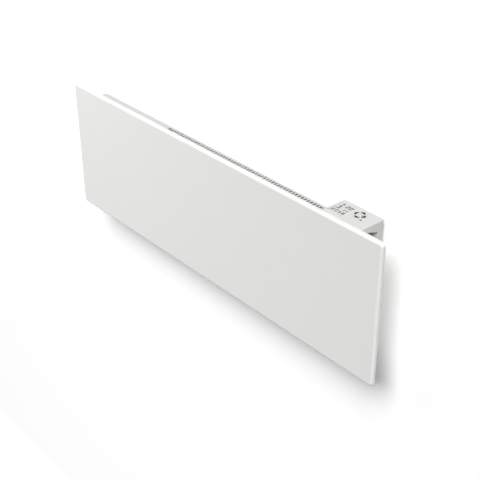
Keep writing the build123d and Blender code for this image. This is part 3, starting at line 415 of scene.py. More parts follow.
def display_cell():
    """Reflective liquid crystal cell: pale grey film behind glass, with a fine cell grain."""
    material, tree, shader, place = new_material("display_cell", Roughness=0.18, IOR=1.52)
    ground = tuple(colours().display)
    mottled(tree, shader, place, shade(ground, 0.05), ground, 0.6)
    return material


def display_segments():
    """Driven liquid crystal: near-black segments, with no shine of their own below the glass."""
    material, tree, shader, place = new_material(
        "display_segments", Roughness=0.35, IOR=1.52, Specular_IOR_Level=0.1
    )
    dark = tuple(colours().segment)
    mottled(tree, shader, place, shade(dark, 0.3), dark, 1.5)
    return material


def printed_ink():
    """Pad-printed two-part ink: near black, matt, in a slightly uneven film."""
    material, tree, shader, place = new_material(
        "printed_ink", Roughness=0.6, IOR=1.48, Specular_IOR_Level=0.2
    )
    ink = tuple(colours().ink)
    film = mottled(tree, shader, place, shade(ink, 0.25), ink, 1.2, detail=3.0)
    roughen(tree, shader, film, depth_mm=0.01)
    return material


def masked_laminate():
    """Glass-epoxy board with green solder mask over copper tracks."""
    material, tree, shader, place = new_material("masked_laminate", Roughness=0.32, IOR=1.55)
    tracks = node(
        tree,
        "TexBrick",
        {
            "Vector": place,
            "Scale": per_metre(1.0),
            "Brick Width": 14.0,
            "Row Height": 2.5,
            "Mortar Size": 0.35,
            "Color1": (*linear("1F5B35"), 1),
            "Color2": (*linear("246840"), 1),
            "Mortar": (*linear("2F7D4C"), 1),
        },
        shader.inputs["Base Color"],
    )
    roughen(tree, shader, tracks.outputs["Fac"], depth_mm=0.03)
    return material


def moulded_polyamide(name, code, roughness):
    """Injection-moulded polyamide: slightly waxy, with a fine grain."""
    material, tree, shader, place = new_material(name, Roughness=roughness, IOR=1.53)
    colour = linear(code)
    grain = mottled(tree, shader, place, shade(colour, 0.08), colour, 1.4, detail=3.0)
    roughen(tree, shader, grain, depth_mm=0.03)
    return material


def silicone_insulation(name, code):
    """Extruded silicone sleeve: soft, dull colour with a faint powdery bloom."""
    material, tree, shader, place = new_material(name, Roughness=0.62, IOR=1.43)
    colour = linear(code)
    bloom = mottled(tree, shader, place, shade(colour, 0.15), colour, 4.0, detail=3.0)
    roughen(tree, shader, bloom, depth_mm=0.02)
    return material


def moulded_seal():
    """Nitrile rubber seal: near-black, dull, with a fine moulded grain."""
    material, tree, shader, place = new_material("moulded_seal", Roughness=0.8, IOR=1.52)
    grain = mottled(tree, shader, place, linear("1D1D1E"), linear("2A2A2B"), 0.8, detail=3.0)
    roughen(tree, shader, grain, depth_mm=0.03)
    return material


def slot_finishes():
    """Material of each of the record's material slots."""
    chosen = colours()
    panel = tuple(chosen.panel)
    casing = tuple(chosen.casing)
    bracket = tuple(chosen.bracket)
    housing = tuple(chosen.housing)
    return {
        "panel_enamel": powder_coated_steel("powder_coated_panel", panel, 2.2, 0.012, 0.42),
        "casing_enamel": powder_coated_steel("powder_coated_casing", casing, 1.6, 0.03, 0.5),
        "bracket_enamel": powder_coated_steel("powder_coated_bracket", bracket, 1.6, 0.04, 0.5),
        "zinc_steel": zinc_plated_steel(),
        "galvanised": galvanised_steel(),
        "bare_aluminium": extruded_aluminium(),
        "stainless": drawn_stainless(),
        "ceramic": fired_steatite(),
        "white_abs": moulded_abs("moulded_abs_housing", housing, 0.5, 1.0, 0.02),
        "key_abs": moulded_abs("moulded_abs_keys", housing, 0.4, 1.4, 0.008),
        "clear_window": clear_polycarbonate(),
        "lcd_glass": display_cell(),
        "board_laminate": masked_laminate(),
        "black_moulding": moulded_polyamide("moulded_polyamide_black", "1B1C1E", 0.45),
        "relay_case": moulded_polyamide("moulded_polyamide_blue", "22386E", 0.4),
        "block_nylon": moulded_polyamide("moulded_polyamide_ivory", "E6E3D8", 0.45),
        "gland_nylon": moulded_polyamide("moulded_polyamide_grey", "DCDCD9", 0.42),
        "catch_nylon": moulded_polyamide("moulded_polyamide_dark", "303134", 0.5),
        "wire_brown": silicone_insulation("silicone_brown", "6B4228"),
        "wire_blue": silicone_insulation("silicone_blue", "2B5DA8"),
        "wire_earth_green": silicone_insulation("silicone_green", "7DA62E"),
        "wire_black": silicone_insulation("silicone_black", "262626"),
    }


def finish(name):
    """Material that was made by the finishes operator."""
    material = bpy.data.materials.get(name)
    if material is None:
        raise RuntimeError("run the finishes operator before the pieces: no material " + name)
    return material


# ---- outlines and meshes -----------------------------------------------------------------------
SMOOTH_ANGLE = math.radians(35)    # edges sharper than this stay sharp


def add_piece(name, mesh_tool, body, material, smooth=False):
    """Object from a bmesh that rides on a body, with its material and the record's slot."""
    mesh = bpy.data.meshes.new(name)
    bmesh.ops.recalc_face_normals(mesh_tool, faces=mesh_tool.faces)
    mesh_tool.to_mesh(mesh)
    mesh_tool.free()
    mesh.materials.append(material)
    piece = bpy.data.objects.new(name, mesh)
    bpy.context.scene.collection.objects.link(piece)
    if smooth:
        mesh.shade_smooth()
        with bpy.context.temp_override(
            object=piece,
            active_object=piece,
            selected_objects=[piece],
            selected_editable_objects=[piece],
        ):
            bpy.ops.object.shade_auto_smooth(angle=SMOOTH_ANGLE)
    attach(piece, body)
    return piece


def skin(mesh_tool, rings, closed=False):
    """Faces from each ring of vertices to the next, and from the last to the first if closed."""
    following = rings[1:] + rings[:1] if closed else rings[1:]
    for lower, upper in zip(rings, following):
        for i in range(len(lower)):
            j = (i + 1) % len(lower)
            mesh_tool.faces.new((lower[i], lower[j], upper[j], upper[i]))


def add_prism(mesh_tool, outline, low_z, height):
    """Upright prism on an outline of (x, y) points."""
    lower = [mesh_tool.verts.new((x, y, low_z)) for x, y in outline]
    upper = [mesh_tool.verts.new((x, y, low_z + height)) for x, y in outline]
    mesh_tool.faces.new(lower[::-1])
    mesh_tool.faces.new(upper)
    skin(mesh_tool, [lower, upper])


def lathe(mesh_tool, profile, sides, place):
    """Skin turned from (radius, height) points. Returns its rings of vertices."""
    rings = []
    for radius, height in profile:
        outline = round_outline(radius, sides)
        rings.append([mesh_tool.verts.new(place @ Vector((x, y, height))) for x, y in outline])
    skin(mesh_tool, rings)
    return rings


def moved(outline, x, y):
    """Outline shifted by x and y."""
    return [(px + x, py + y) for px, py in outline]


def turned(outline, angle):
    """Outline turned round the origin by an angle in radians."""
    along, across = math.cos(angle), math.sin(angle)
    return [(x * along - y * across, x * across + y * along) for x, y in outline]


def round_outline(radius, sides):
    """Circle round the origin, as a polygon."""
    return [
        (radius * math.cos(math.tau * i / sides), radius * math.sin(math.tau * i / sides))
        for i in range(sides)
    ]


def arc_outline(radius, stroke, start, end, steps):
    """Band of an arc round the origin, its angles in degrees."""
    angles = [math.radians(start + (end - start) * i / steps) for i in range(steps + 1)]
    outer, inner = (
        [(reach * math.cos(angle), reach * math.sin(angle)) for angle in angles]
        for reach in (radius + stroke / 2, radius - stroke / 2)
    )
    return outer + inner[::-1]


def box_outline(x, y, width, height):
    """Rectangle with its lower left corner at x and y."""
    return [(x, y), (x + width, y), (x + width, y + height), (x, y + height)]


def bar_outline(start, end, stroke):
    """Six-sided bar with pointed ends, from start to end."""
    a = Vector(start)
    b = Vector(end)
    tip = (b - a).normalized() * stroke / 2
    side = Vector((-tip.y, tip.x))
    corners = (a, a + tip - side, b - tip - side, b, b - tip + side, a + tip + side)
    return [tuple(corner) for corner in corners]


# ---- display -----------------------------------------------------------------------------------
DIGITS = {
    "0": "abcdef", "1": "bc", "2": "abged", "3": "abgcd", "4": "fgbc",
    "5": "afgcd", "6": "afgedc", "7": "abc", "8": "abcdefg", "9": "abcdfg",
}
DIGIT_WIDTH = 0.72         # share of a digit's height
DIGIT_GAP = 0.06           # share of its stroke, between segments
COLON_RISES = (0.3, 0.7)   # shares of a digit's height
COLON_SIZE = 0.6           # share of its stroke

TIME_PLACE = (2.2 * MM, 6.4 * MM)      # this and the other places: from the display's corner
TIME_PITCH = 8.8 * MM
DEGREES_PLACE = (17.6 * MM, 30.0 * MM)
DEGREES_PITCH = 7.9 * MM
DEGREES_STROKE = 1.15      # share of the clock's stroke
DAY_PLACE = (22.0 * MM, 18.6 * MM)
DAY_HEIGHT = 5.2 * MM
DAY_PITCH = 6.4 * MM
DAY_STROKE = 0.65          # share of the clock's stroke
DEGREE_SIGN = (34.0 * MM, 38.0 * MM)
DEGREE_RADIUS = 1.1 * MM
DEGREE_STROKE = 0.9 * MM
DEGREE_SPAN = 178          # degrees of each half of its ring
DEGREE_STEPS = 8

SUN_PLACE = (8.4 * MM, 37.6 * MM)
SUN_RADIUS = 2.2 * MM
SUN_SIDES = 20
SUN_RAYS = 8
SUN_RAY_ENDS = (2.6 * MM, 3.7 * MM)
SUN_RAY_STROKE = 1.0 * MM
HOURS_DROP = 9.2 * MM      # ring of hours below the sun
HOURS_RADIUS = 2.4 * MM
HOURS_STROKE = 1.9 * MM
HOURS_GAP = 8              # degrees at each end of a half ring
HOURS_STEPS = 10
HUB_RADIUS = 1.0 * MM
HUB_SIDES = 12
BARS_DROP = 10.0 * MM      # level's foot below the ring of hours
BARS_LEFT = -5.8 * MM      # first bar from the middle of the signs
BAR_COUNT = 5
BAR_PITCH = 2.0 * MM
BAR_WIDTH = 1.6 * MM
BAR_LOWEST = 1.8 * MM
BAR_STEP = 0.9 * MM


def segment_outlines(width, height, stroke):
    """Outlines of the seven mitred segments of a digit, its lower left corner at zero."""
    gap = stroke * DIGIT_GAP
    half = stroke / 2
    middle = height / 2
    top = [
        (gap, height),
        (width - gap, height),
        (width - stroke - gap, height - stroke),
        (stroke + gap, height - stroke),
    ]
    upper_left = [
        (0.0, height - gap),
        (stroke, height - stroke - gap),
        (stroke, middle + half + gap),
        (half, middle + gap),
        (0.0, middle + gap),
    ]

    def mirrored(outline, over_x, over_y):
        return [(width - x if over_x else x, height - y if over_y else y) for x, y in outline]

    return {
        "a": top,
        "b": mirrored(upper_left, True, False),
        "c": mirrored(upper_left, True, True),
        "d": mirrored(top, False, True),
        "e": mirrored(upper_left, False, True),
        "f": upper_left,
        "g": bar_outline((half + gap, middle), (width - half - gap, middle), stroke),
    }


def add_number(mesh_tool, text, corner, height, pitch, stroke, ink):
    """Row of seven-segment digits. A colon is two squares in the room between two of them."""
    outlines = segment_outlines(height * DIGIT_WIDTH, height, stroke)
    x, y, low_z = corner
    for sign in text:
        if sign == ":":
            side = stroke * COLON_SIZE
            left = x - (pitch - height * DIGIT_WIDTH) / 2 - side / 2
            for rise in COLON_RISES:
                dot = box_outline(left, y + height * rise - side / 2, side, side)
                add_prism(mesh_tool, dot, low_z, ink)
            continue
        for letter in DIGITS[sign]:
            add_prism(mesh_tool, moved(outlines[letter], x, y), low_z, ink)
        x += pitch


def make_display_marks():
    """Clock, temperature and day of the display, on the glass of its cell."""
    chosen = sizes()
    low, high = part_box("lcd_module")
    stroke = chosen.digit_stroke
    ink = chosen.ink_height
    rows = (
        ("20:58", TIME_PLACE, chosen.digit_height, TIME_PITCH, stroke),
        ("20", DEGREES_PLACE, chosen.degree_height, DEGREES_PITCH, stroke * DEGREES_STROKE),
        ("23", DAY_PLACE, DAY_HEIGHT, DAY_PITCH, stroke * DAY_STROKE),
    )
    mesh_tool = bmesh.new()
    for text, (right, up), height, pitch, line in rows:
        corner = (low.x + right, low.y + up, high.z)
        add_number(mesh_tool, text, corner, height, pitch, line, ink)
    right, up = DEGREE_SIGN
    for start in (0, 180):
        half_ring = arc_outline(
            DEGREE_RADIUS, DEGREE_STROKE, start, start + DEGREE_SPAN, DEGREE_STEPS
        )
        placed = moved(half_ring, low.x + right, low.y + up)
        add_prism(mesh_tool, placed, high.z, ink)
    add_piece("display_marks", mesh_tool, HEATER, finish("display_segments"))


def make_display_signs():
    """Small signs of the display: a sun for comfort, a ring of hours and a level of bars."""
    low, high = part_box("lcd_module")
    x = low.x + SUN_PLACE[0]
    sun_y = low.y + SUN_PLACE[1]
    ring_y = sun_y - HOURS_DROP
    outlines = [moved(round_outline(SUN_RADIUS, SUN_SIDES), x, sun_y)]
    for i in range(SUN_RAYS):
        ray = turned([(reach, 0.0) for reach in SUN_RAY_ENDS], math.tau * i / SUN_RAYS)
        outlines.append(bar_outline(*moved(ray, x, sun_y), SUN_RAY_STROKE))
    for start in (0, 180):
        end = start + 180 - HOURS_GAP
        half_ring = arc_outline(HOURS_RADIUS, HOURS_STROKE, start + HOURS_GAP, end, HOURS_STEPS)
        outlines.append(moved(half_ring, x, ring_y))
    outlines.append(moved(round_outline(HUB_RADIUS, HUB_SIDES), x, ring_y))
    for i in range(BAR_COUNT):
        left = x + BARS_LEFT + BAR_PITCH * i
        tall = BAR_LOWEST + BAR_STEP * i
        outlines.append(box_outline(left, ring_y - BARS_DROP, BAR_WIDTH, tall))
    mesh_tool = bmesh.new()
    for outline in outlines:
        add_prism(mesh_tool, outline, high.z, sizes().ink_height)
    add_piece("display_signs", mesh_tool, HEATER, finish("display_segments"))


# ---- keys --------------------------------------------------------------------------------------
KEY_TURNS = {"key_right": 0, "key_back": 90, "key_left": 180, "key_front": 270}
RING_CENTRE = (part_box("key_left")[0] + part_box("key_right")[1]) / 2
ARROW_TIP = 14.1 * MM      # from the ring's centre
ARROW_SLOPE = 0.72         # how far an arm runs back, as a share of its run across
ARROW_END = 0.62           # cut of an arm's end, as a share of the stroke
ARROW_NOTCH = 1.35         # inner corner behind the tip, as a share of the stroke
SET_KEY = "key_right"      # has a small triangle besides
SET_TRIANGLE = [(7.5 * MM, 0.0), (5.1 * MM, 2.2 * MM), (5.1 * MM, -2.2 * MM)]

STANDBY_RADIUS = 1.7 * MM
STANDBY_STROKE = 1.2 * MM
STANDBY_ENDS = (125, 415)  # degrees, open at the top
STANDBY_STEPS = 24
STANDBY_BAR = 2.3 * MM
STANDBY_BAR_STROKE = 1.1 * MM


def make_key_mark(name, turn):
    """Printed arrow on a quarter key, pointing away from the ring's centre."""
    chosen = sizes()
    half = chosen.chevron_width / 2
    stroke = chosen.chevron_stroke
    back = ARROW_TIP - half * ARROW_SLOPE
    end = stroke * ARROW_END
    arrow = [
        (ARROW_TIP, 0.0),
        (back, half),
        (back - end, half - end),
        (ARROW_TIP - stroke * ARROW_NOTCH, 0.0),
        (back - end, end - half),
        (back, -half),
    ]
    mesh_tool = bmesh.new()
    for outline in [arrow, SET_TRIANGLE] if name == SET_KEY else [arrow]:
        placed = moved(turned(outline, math.radians(turn)), RING_CENTRE.x, RING_CENTRE.y)
        add_prism(mesh_tool, placed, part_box(name)[1].z, chosen.ink_height)
    mark = name.replace("key_", "arrow_")
    add_piece(mark, mesh_tool, name, finish("printed_ink"))


def make_standby_mark():
    """Printed open ring with a bar on the standby key."""
    low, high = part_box("key_standby")
    centre = (low + high) / 2
    ink = sizes().ink_height
    ring = arc_outline(STANDBY_RADIUS, STANDBY_STROKE, *STANDBY_ENDS, STANDBY_STEPS)
    bar = bar_outline((0.0, 0.0), (0.0, STANDBY_BAR), STANDBY_BAR_STROKE)
    mesh_tool = bmesh.new()
    for outline in (ring, bar):
        add_prism(mesh_tool, moved(outline, centre.x, centre.y), high.z, ink)
    add_piece("standby_mark", mesh_tool, "key_standby", finish("printed_ink"))


# ---- screws ------------------------------------------------------------------------------------
SCREW_KINDS = (
    # CAD node, head's height in mm, shank as a share of the head, way from shank to head
    ("panel_screws", 2.2, 0.52, (0, 1, 0)),
    ("casing_screws", 2.2, 0.52, (0, 1, 0)),
    ("chassis_screws", 1.8, 0.53, (0, 1, 0)),
    ("housing_screws", 1.8, 0.53, (0, 0, -1)),
)
SCREW_SIDES = 24
SCREW_SPIN = 0.9           # radians from one screw's cross to the next one's
# outline of the head, in shares of its radius and of its height
SCREW_DOME = ((1.0, 0.0), (1.0, 0.35), (0.95, 0.66), (0.83, 0.86), (0.68, 0.96), (0.56, 1.0))
SHANK_STRAIGHT = 0.85      # share of the grip
SHANK_TIP = 0.5            # share of the shank's radius
CROSS_REACH = 0.5          # shares of the head's radius
CROSS_WIDTH = 0.12
CROSS_CORNER = 1.5         # share of the cross's half width
CROSS_FLOOR = 0.72         # share of the rim
CROSS_DEEPEST = 0.7        # share of the head's height
HEAD_FLATS = math.cos(math.pi / 8)    # the plain head has eight sides and is measured at corners
SAME_POINT = 0.0005 * MM


def add_screw(mesh_tool, place, head_radius, head_height, shank_radius, grip):
    """Pan-head screw along its own Z: shank below zero, domed head with a cross recess above."""
    profile = [
        (shank_radius * SHANK_TIP, -grip),
        (shank_radius, -grip * SHANK_STRAIGHT),
        (shank_radius, 0.0),
    ]
    profile += [(head_radius * reach, head_height * rise) for reach, rise in SCREW_DOME]
    rings = lathe(mesh_tool, profile, SCREW_SIDES, place)
    mesh_tool.faces.new(rings[0])
    arm = head_radius * CROSS_REACH
    width = head_radius * CROSS_WIDTH
    corner = width * CROSS_CORNER
    cross = []
    for quarter in range(4):
        end = [(arm, -width), (arm, width), (corner, corner)]
        cross += turned(end, math.tau * quarter / 4)
    depth = min(sizes().recess_depth, head_height * CROSS_DEEPEST)
    rim, floor = (
        [mesh_tool.verts.new(place @ Vector((x * share, y * share, height))) for x, y in cross]
        for share, height in ((1.0, head_height), (CROSS_FLOOR, head_height - depth))
    )
    skin(mesh_tool, [rim, floor])
    mesh_tool.faces.new(floor)
    edges = []
    for ring in (rim, rings[-1]):
        edges += [mesh_tool.edges.get(pair) for pair in zip(ring, ring[1:] + ring[:1])]
    bmesh.ops.bridge_loops(mesh_tool, edges=edges)


def solids_of(node_name):
    """Low and high corner of each separate solid in a CAD node."""
    mesh_tool = bmesh.new()
    mesh_tool.from_mesh(frame["nodes"][node_name].data)
    bmesh.ops.remove_doubles(mesh_tool, verts=mesh_tool.verts, dist=SAME_POINT)
    left = set(mesh_tool.verts)
    found = []
    while left:
        pool = [left.pop()]
        group = []
        while pool:
            vertex = pool.pop()
            group.append(vertex.co.copy())
            for edge in vertex.link_edges:
                other = edge.other_vert(vertex)
                if other in left:
                    left.remove(other)
                    pool.append(other)
        low = Vector(min(co[i] for co in group) for i in range(3))
        high = Vector(max(co[i] for co in group) for i in range(3))
        found.append((low, high))
    mesh_tool.free()
    return sorted(found, key=lambda box: tuple(round(v, 5) for v in box[0]))


def make_screws(node_name, head_height, shank_share, towards):
    """Screws with domed, recessed heads in place of one CAD group of plain ones."""
    axis = Vector(towards)
    along = max(range(3), key=lambda i: abs(axis[i]))
    across = [i for i in range(3) if i != along]
    turn = axis.to_track_quat("Z", "Y").to_matrix().to_4x4()
    mesh_tool = bmesh.new()
    for number, (low, high) in enumerate(solids_of(node_name)):
        size = high - low
        head_radius = max(size[i] for i in across) / 2 * HEAD_FLATS
        seat = (low + high) / 2
        seat[along] = high[along] - head_height if axis[along] > 0 else low[along] + head_height
        spin = Matrix.Rotation(number * SCREW_SPIN, 4, "Z")
        place = Matrix.Translation(seat) @ turn @ spin
        grip = size[along] - head_height
        add_screw(mesh_tool, place, head_radius, head_height, head_radius * shank_share, grip)
    zinc = finish("zinc_plated_steel")
    piece = add_piece(node_name + "_turned", mesh_tool, HEATER, zinc, smooth=True)
    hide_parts(node_name)


# ---- cable gland -------------------------------------------------------------------------------
GLAND_SIDES = 108
GLAND_RIBS = 18
GLAND_RIB_DEPTH = 0.7 * MM
GLAND_HEXAGON = 24.0 * MM  # across its flats
GLAND_BORE = 4.0 * MM      # radius
CASING_SHEET = 1.0 * MM    # between the gland's nut and its hexagon
THREAD_RADIUS = 10.0 * MM
THREAD_PITCH = 1.5 * MM
THREAD_DEPTH = 0.6 * MM
THREAD_START = (0.7 * MM, 0.5 * MM)    # bevel at the thread's end, across and along
THREAD_PLAIN = 1.4 * MM    # least height of the last turn over the casing's underside
GLAND_PROFILE = (
    # reach from the axis and drop below the casing, in mm, and form
    (12.9, 0.0, "hexagon"),
    (13.86, 0.7, "hexagon"),
    (13.86, 4.3, "hexagon"),
    (12.9, 5.0, "hexagon"),
    (10.9, 5.0, "ribbed"),
    (11.1, 5.5, "ribbed"),
    (10.6, 8.0, "ribbed"),
    (9.6, 10.4, "ribbed"),
    (8.4, 12.2, "ribbed"),
    (7.0, 13.4, "round"),
)
# reach from the axis and rise over the gland's mouth, in mm
MOUTH_PROFILE = ((5.9, 0.0), (5.2, 0.0), (5.2, 4.0), (4.0, 4.0))
SEAL_PROFILE = ((5.1, 3.8), (5.1, 0.8), (4.7, 0.4), (4.1, 0.4), (3.6, 0.9), (3.6, 3.8))


def gland_ring(mesh_tool, centre, reach, height, form="round"):
    """Ring of the gland's surface: round, six-sided or ribbed, about the gland's axis."""
    ring = []
    for i in range(GLAND_SIDES):
        angle = math.tau * i / GLAND_SIDES
        radius = reach
        if form == "hexagon":
            sixth = math.tau / 6
            turn = angle % sixth - sixth / 2
            radius = min(reach, GLAND_HEXAGON / 2 / math.cos(turn))
        elif form == "ribbed":
            radius -= GLAND_RIB_DEPTH / 2 * (1 - math.cos(GLAND_RIBS * angle))
        x = centre.x + radius * math.cos(angle)
        y = centre.y + radius * math.sin(angle)
        ring.append(mesh_tool.verts.new((x, y, height)))
    return ring


def add_gland_piece(name, profile, material):
    """Piece round the gland's axis, with a closed section of (reach, height, form) points."""
    low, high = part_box("cable_gland")
    centre = (low + high) / 2
    mesh_tool = bmesh.new()
    rings = [gland_ring(mesh_tool, centre, *point) for point in profile]
    skin(mesh_tool, rings, closed=True)
    return add_piece(name, mesh_tool, HEATER, finish(material), smooth=True)


def make_gland():
    """Cable gland: thread through the casing, hexagon under it and a domed, ribbed cap."""
    low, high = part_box("cable_gland")
    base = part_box("gland_nut")[0].z - CASING_SHEET
    across, along = THREAD_START
    profile = [(GLAND_BORE, high.z), (THREAD_RADIUS - across, high.z)]
    height = high.z - along
    while height > base + THREAD_PLAIN:
        profile.append((THREAD_RADIUS, height))
        profile.append((THREAD_RADIUS - THREAD_DEPTH, height - THREAD_PITCH / 2))
        height -= THREAD_PITCH
    profile.append((THREAD_RADIUS, base))
    profile += [(reach * MM, base - drop * MM, form) for reach, drop, form in GLAND_PROFILE]
    profile += [(reach * MM, low.z + rise * MM) for reach, rise in MOUTH_PROFILE]
    nylon = "moulded_polyamide_grey"
    piece = add_gland_piece("cable_gland_ribbed", profile, nylon)
    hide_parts("cable_gland")


def make_gland_seal():
    """Rubber ring in the gland's mouth, where the mains lead is gripped."""
    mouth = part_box("cable_gland")[0].z
    profile = [(reach * MM, mouth + rise * MM) for reach, rise in SEAL_PROFILE]
    add_gland_piece("gland_seal", profile, "moulded_seal")


# ---- spot welds --------------------------------------------------------------------------------
DOUBLERS = (
    "hook_doubler_left",
    "hook_doubler_right",
    "catch_doubler_left",
    "catch_doubler_right",
)
WELD_INSET = 4.0 * MM      # half of the doubler's lap over the back plate
WELD_LOWEST = -118.0 * MM  # just above the flange that closes the casing below
WELD_SIDES = 20
WELD_PROFILE = (           # radius and height over the sheet
    (3.0 * MM, 0.0),
    (2.7 * MM, 0.12 * MM),
    (2.2 * MM, 0.12 * MM),
    (1.9 * MM, 0.04 * MM),
)


def make_spot_welds(node_name):
    """Shallow round dimples that resistance welds leave over a doubler plate's laps."""
    low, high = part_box(node_name)
    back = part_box("back_plate")[1].y
    turn = Matrix.Rotation(-math.pi / 2, 4, "X")
    mesh_tool = bmesh.new()
    for x in (low.x + WELD_INSET, high.x - WELD_INSET):
        for z in (max(low.z + WELD_INSET, WELD_LOWEST), high.z - WELD_INSET):
            place = Matrix.Translation((x, back, z)) @ turn
            rings = lathe(mesh_tool, WELD_PROFILE, WELD_SIDES, place)
            mesh_tool.faces.new(rings[-1])
            mesh_tool.faces.new(rings[0][::-1])
    name = node_name.replace("doubler", "welds")
    enamel = finish("powder_coated_casing")
    add_piece(name, mesh_tool, HEATER, enamel, smooth=True)


# ---- studio ------------------------------------------------------------------------------------
WALL_GAP = 0.5 * MM        # behind the heater; all lengths here are in metres
WALL_HALF_WIDTH = 6.0
WALL_TOP = 4.0
ROOM_DEPTH = 8.0
PAINT_WHITENESS = 1.0
PAINT_GLOW = 0.1           # for the camera and for what mirrors the wall

SUNS = (
    # name, way to the light, spread in degrees, its strength in HeaterStudio
    ("sky_light", (0.46, -1.0, 1.27), 34.0, "sun_strength"),
    ("side_light", (1.0, 0.3, 0.15), 30.0, "side_strength"),
    ("back_light", (-0.3, 1.0, 0.1), 40.0, "back_strength"),
)
SOFTBOXES = (
    # name, place, aim, side, its power in HeaterStudio
    ("front_light", (-0.85, -1.0, 0.8), (0.0, 0.0, 0.0), 0.8, "front_power"),
    ("right_light", (2.125, -0.225, 0.195), (0.45, -0.05, 0.1), 0.5, "right_power"),
)

CAMERA_PLACE = (1.5103, -1.2832, 1.1054)
CAMERA_AZIMUTH = 49.410    # degrees
CAMERA_ELEVATION = 31.116
CAMERA_ROLL = -0.330
CAMERA_LENS = 75.05        # mm
CAMERA_CLIP = (0.05, 40.0)


def seen_rays(tree):
    """1 for the rays that show a surface to the camera, a mirror or glass, and 0 for the rest."""
    rays = node(tree, "LightPath").outputs
    plain = {0: rays["Is Camera Ray"], 1: rays["Is Glossy Ray"]}
    either = node(tree, "Math", plain, operation="MAXIMUM")
    return node(tree, "Math", {0: either, 1: rays["Is Transmission Ray"]}, operation="MAXIMUM")


def one_sided_white(name):
    """Matt white paint, seen from its front alone, so that the heater shows from behind too."""
    material = bpy.data.materials.new(name)
    material.use_nodes = True
    tree = material.node_tree
    tree.nodes.clear()
    white = (PAINT_WHITENESS, PAINT_WHITENESS, PAINT_WHITENESS, 1)
    paint = node(tree, "BsdfDiffuse", {"Color": white})
    glow = node(tree, "Math", {0: seen_rays(tree), 1: PAINT_GLOW}, operation="MULTIPLY")
    light = node(tree, "Emission", {"Color": (1, 1, 1, 1), "Strength": glow})
    front = node(tree, "AddShader", {0: paint, 1: light})
    side = node(tree, "NewGeometry").outputs["Backfacing"]
    both = node(tree, "MixShader", {0: side, 1: front, 2: node(tree, "BsdfTransparent")})
    node(tree, "OutputMaterial", {"Surface": both})
    return material


def make_plane(name, corners, material):
    """Backdrop that the camera sees and that takes no part in the light on the heater."""
    mesh = bpy.data.meshes.new(name)
    mesh.from_pydata(corners, [], [(0, 1, 2, 3)])
    mesh.materials.append(material)
    plane = bpy.data.objects.new(name, mesh)
    bpy.context.scene.collection.objects.link(plane)
    for ray in ("visible_shadow", "visible_diffuse", "visible_glossy", "visible_transmission"):
        setattr(plane, ray, False)


def make_wall_and_floor():
    """Wall close behind the heater and floor below it."""
    low, high = CAD_BOX
    y = high.y + WALL_GAP
    z = low.z - bpy.context.scene.heater_studio.floor_drop
    w = WALL_HALF_WIDTH
    wall = [(-w, y, z), (w, y, z), (w, y, WALL_TOP), (-w, y, WALL_TOP)]
    floor = [(x, y, z) for x, y in box_outline(-w, -ROOM_DEPTH, 2 * w, 2 * ROOM_DEPTH)]
    make_plane("wall", wall, one_sided_white("white_wall_paint"))
    make_plane("floor", floor, one_sided_white("white_floor_paint"))


def add_lamp(name, kind, place, direction, energy, **settings):
    """Lamp that shines along a direction."""
    data = bpy.data.lights.new(name, kind)
    data.energy = energy
    for key, value in settings.items():
        setattr(data, key, value)
    lamp = bpy.data.objects.new(name, data)
    bpy.context.scene.collection.objects.link(lamp)
    lamp.location = place
    lamp.rotation_mode = "QUATERNION"
    lamp.rotation_quaternion = direction.to_track_quat("-Z", "Y")


def make_lights():
    """White surroundings that light the heater faintly, three suns and two softboxes."""
    scene = bpy.context.scene
    studio = scene.heater_studio
    scene.view_settings.view_transform = "Standard"
    world = bpy.data.worlds.new("white_surroundings")
    world.use_nodes = True
    scene.world = world
    tree = world.node_tree
    tree.nodes.clear()
    levels = {"Value": seen_rays(tree), "To Min": studio.ambient, "To Max": 1.0}
    strength = node(tree, "MapRange", levels)
    sky = node(tree, "Background", {"Color": (1, 1, 1, 1), "Strength": strength})
    node(tree, "OutputWorld", {"Surface": sky})
    for name, towards, spread, strength in SUNS:
        energy = getattr(studio, strength)
        add_lamp(name, "SUN", (0, 0, 0), -Vector(towards), energy, angle=math.radians(spread))
    for name, place, aim, side, power in SOFTBOXES:
        direction = Vector(aim) - Vector(place)
        energy = getattr(studio, power)
        add_lamp(name, "AREA", place, direction, energy, shape="SQUARE", size=side)


def make_camera():
    """Camera at the photograph's place and angle."""
    azimuth = math.radians(CAMERA_AZIMUTH)
    elevation = math.radians(CAMERA_ELEVATION)
    roll = math.radians(CAMERA_ROLL)
    level_reach = math.cos(elevation)
    ahead = Vector(
        (-math.sin(azimuth) * level_reach, math.cos(azimuth) * level_reach, -math.sin(elevation))
    )
    level = ahead.cross(Vector((0, 0, 1))).normalized()
    above = level.cross(ahead)
    right = level * math.cos(roll) + above * math.sin(roll)
    up = above * math.cos(roll) - level * math.sin(roll)
    data = bpy.data.cameras.new("camera")
    data.lens = CAMERA_LENS
    data.clip_start, data.clip_end = CAMERA_CLIP
    camera = bpy.data.objects.new("camera", data)
    bpy.context.scene.collection.objects.link(camera)
    turn = Matrix((right, up, -ahead)).transposed().to_4x4()
    camera.matrix_world = Matrix.Translation(CAMERA_PLACE) @ turn
    bpy.context.scene.camera = camera


# ---- operators ---------------------------------------------------------------------------------
class HEATER_OT_studio(bpy.types.Operator):
    """Set up the wall, the floor, the lights and the camera."""

    bl_idname = "heater.studio"
    bl_label = "Studio"

    def execute(self, context):
        make_wall_and_floor()
        make_lights()
        make_camera()
        return {"FINISHED"}


class HEATER_OT_finishes(bpy.types.Operator):
    """Make every finish and give it to the CAD parts by their material slot."""

    bl_idname = "heater.finishes"
    bl_label = "Finishes"

    def execute(self, context):
        finishes = slot_finishes()
        display_segments()
        printed_ink()
        moulded_seal()
        for part in frame["record"]["subparts"]:
            thing = frame["nodes"][part["node"]]
            thing.data.materials.clear()
            thing.data.materials.append(finishes[part["material_slot"]])
        return {"FINISHED"}


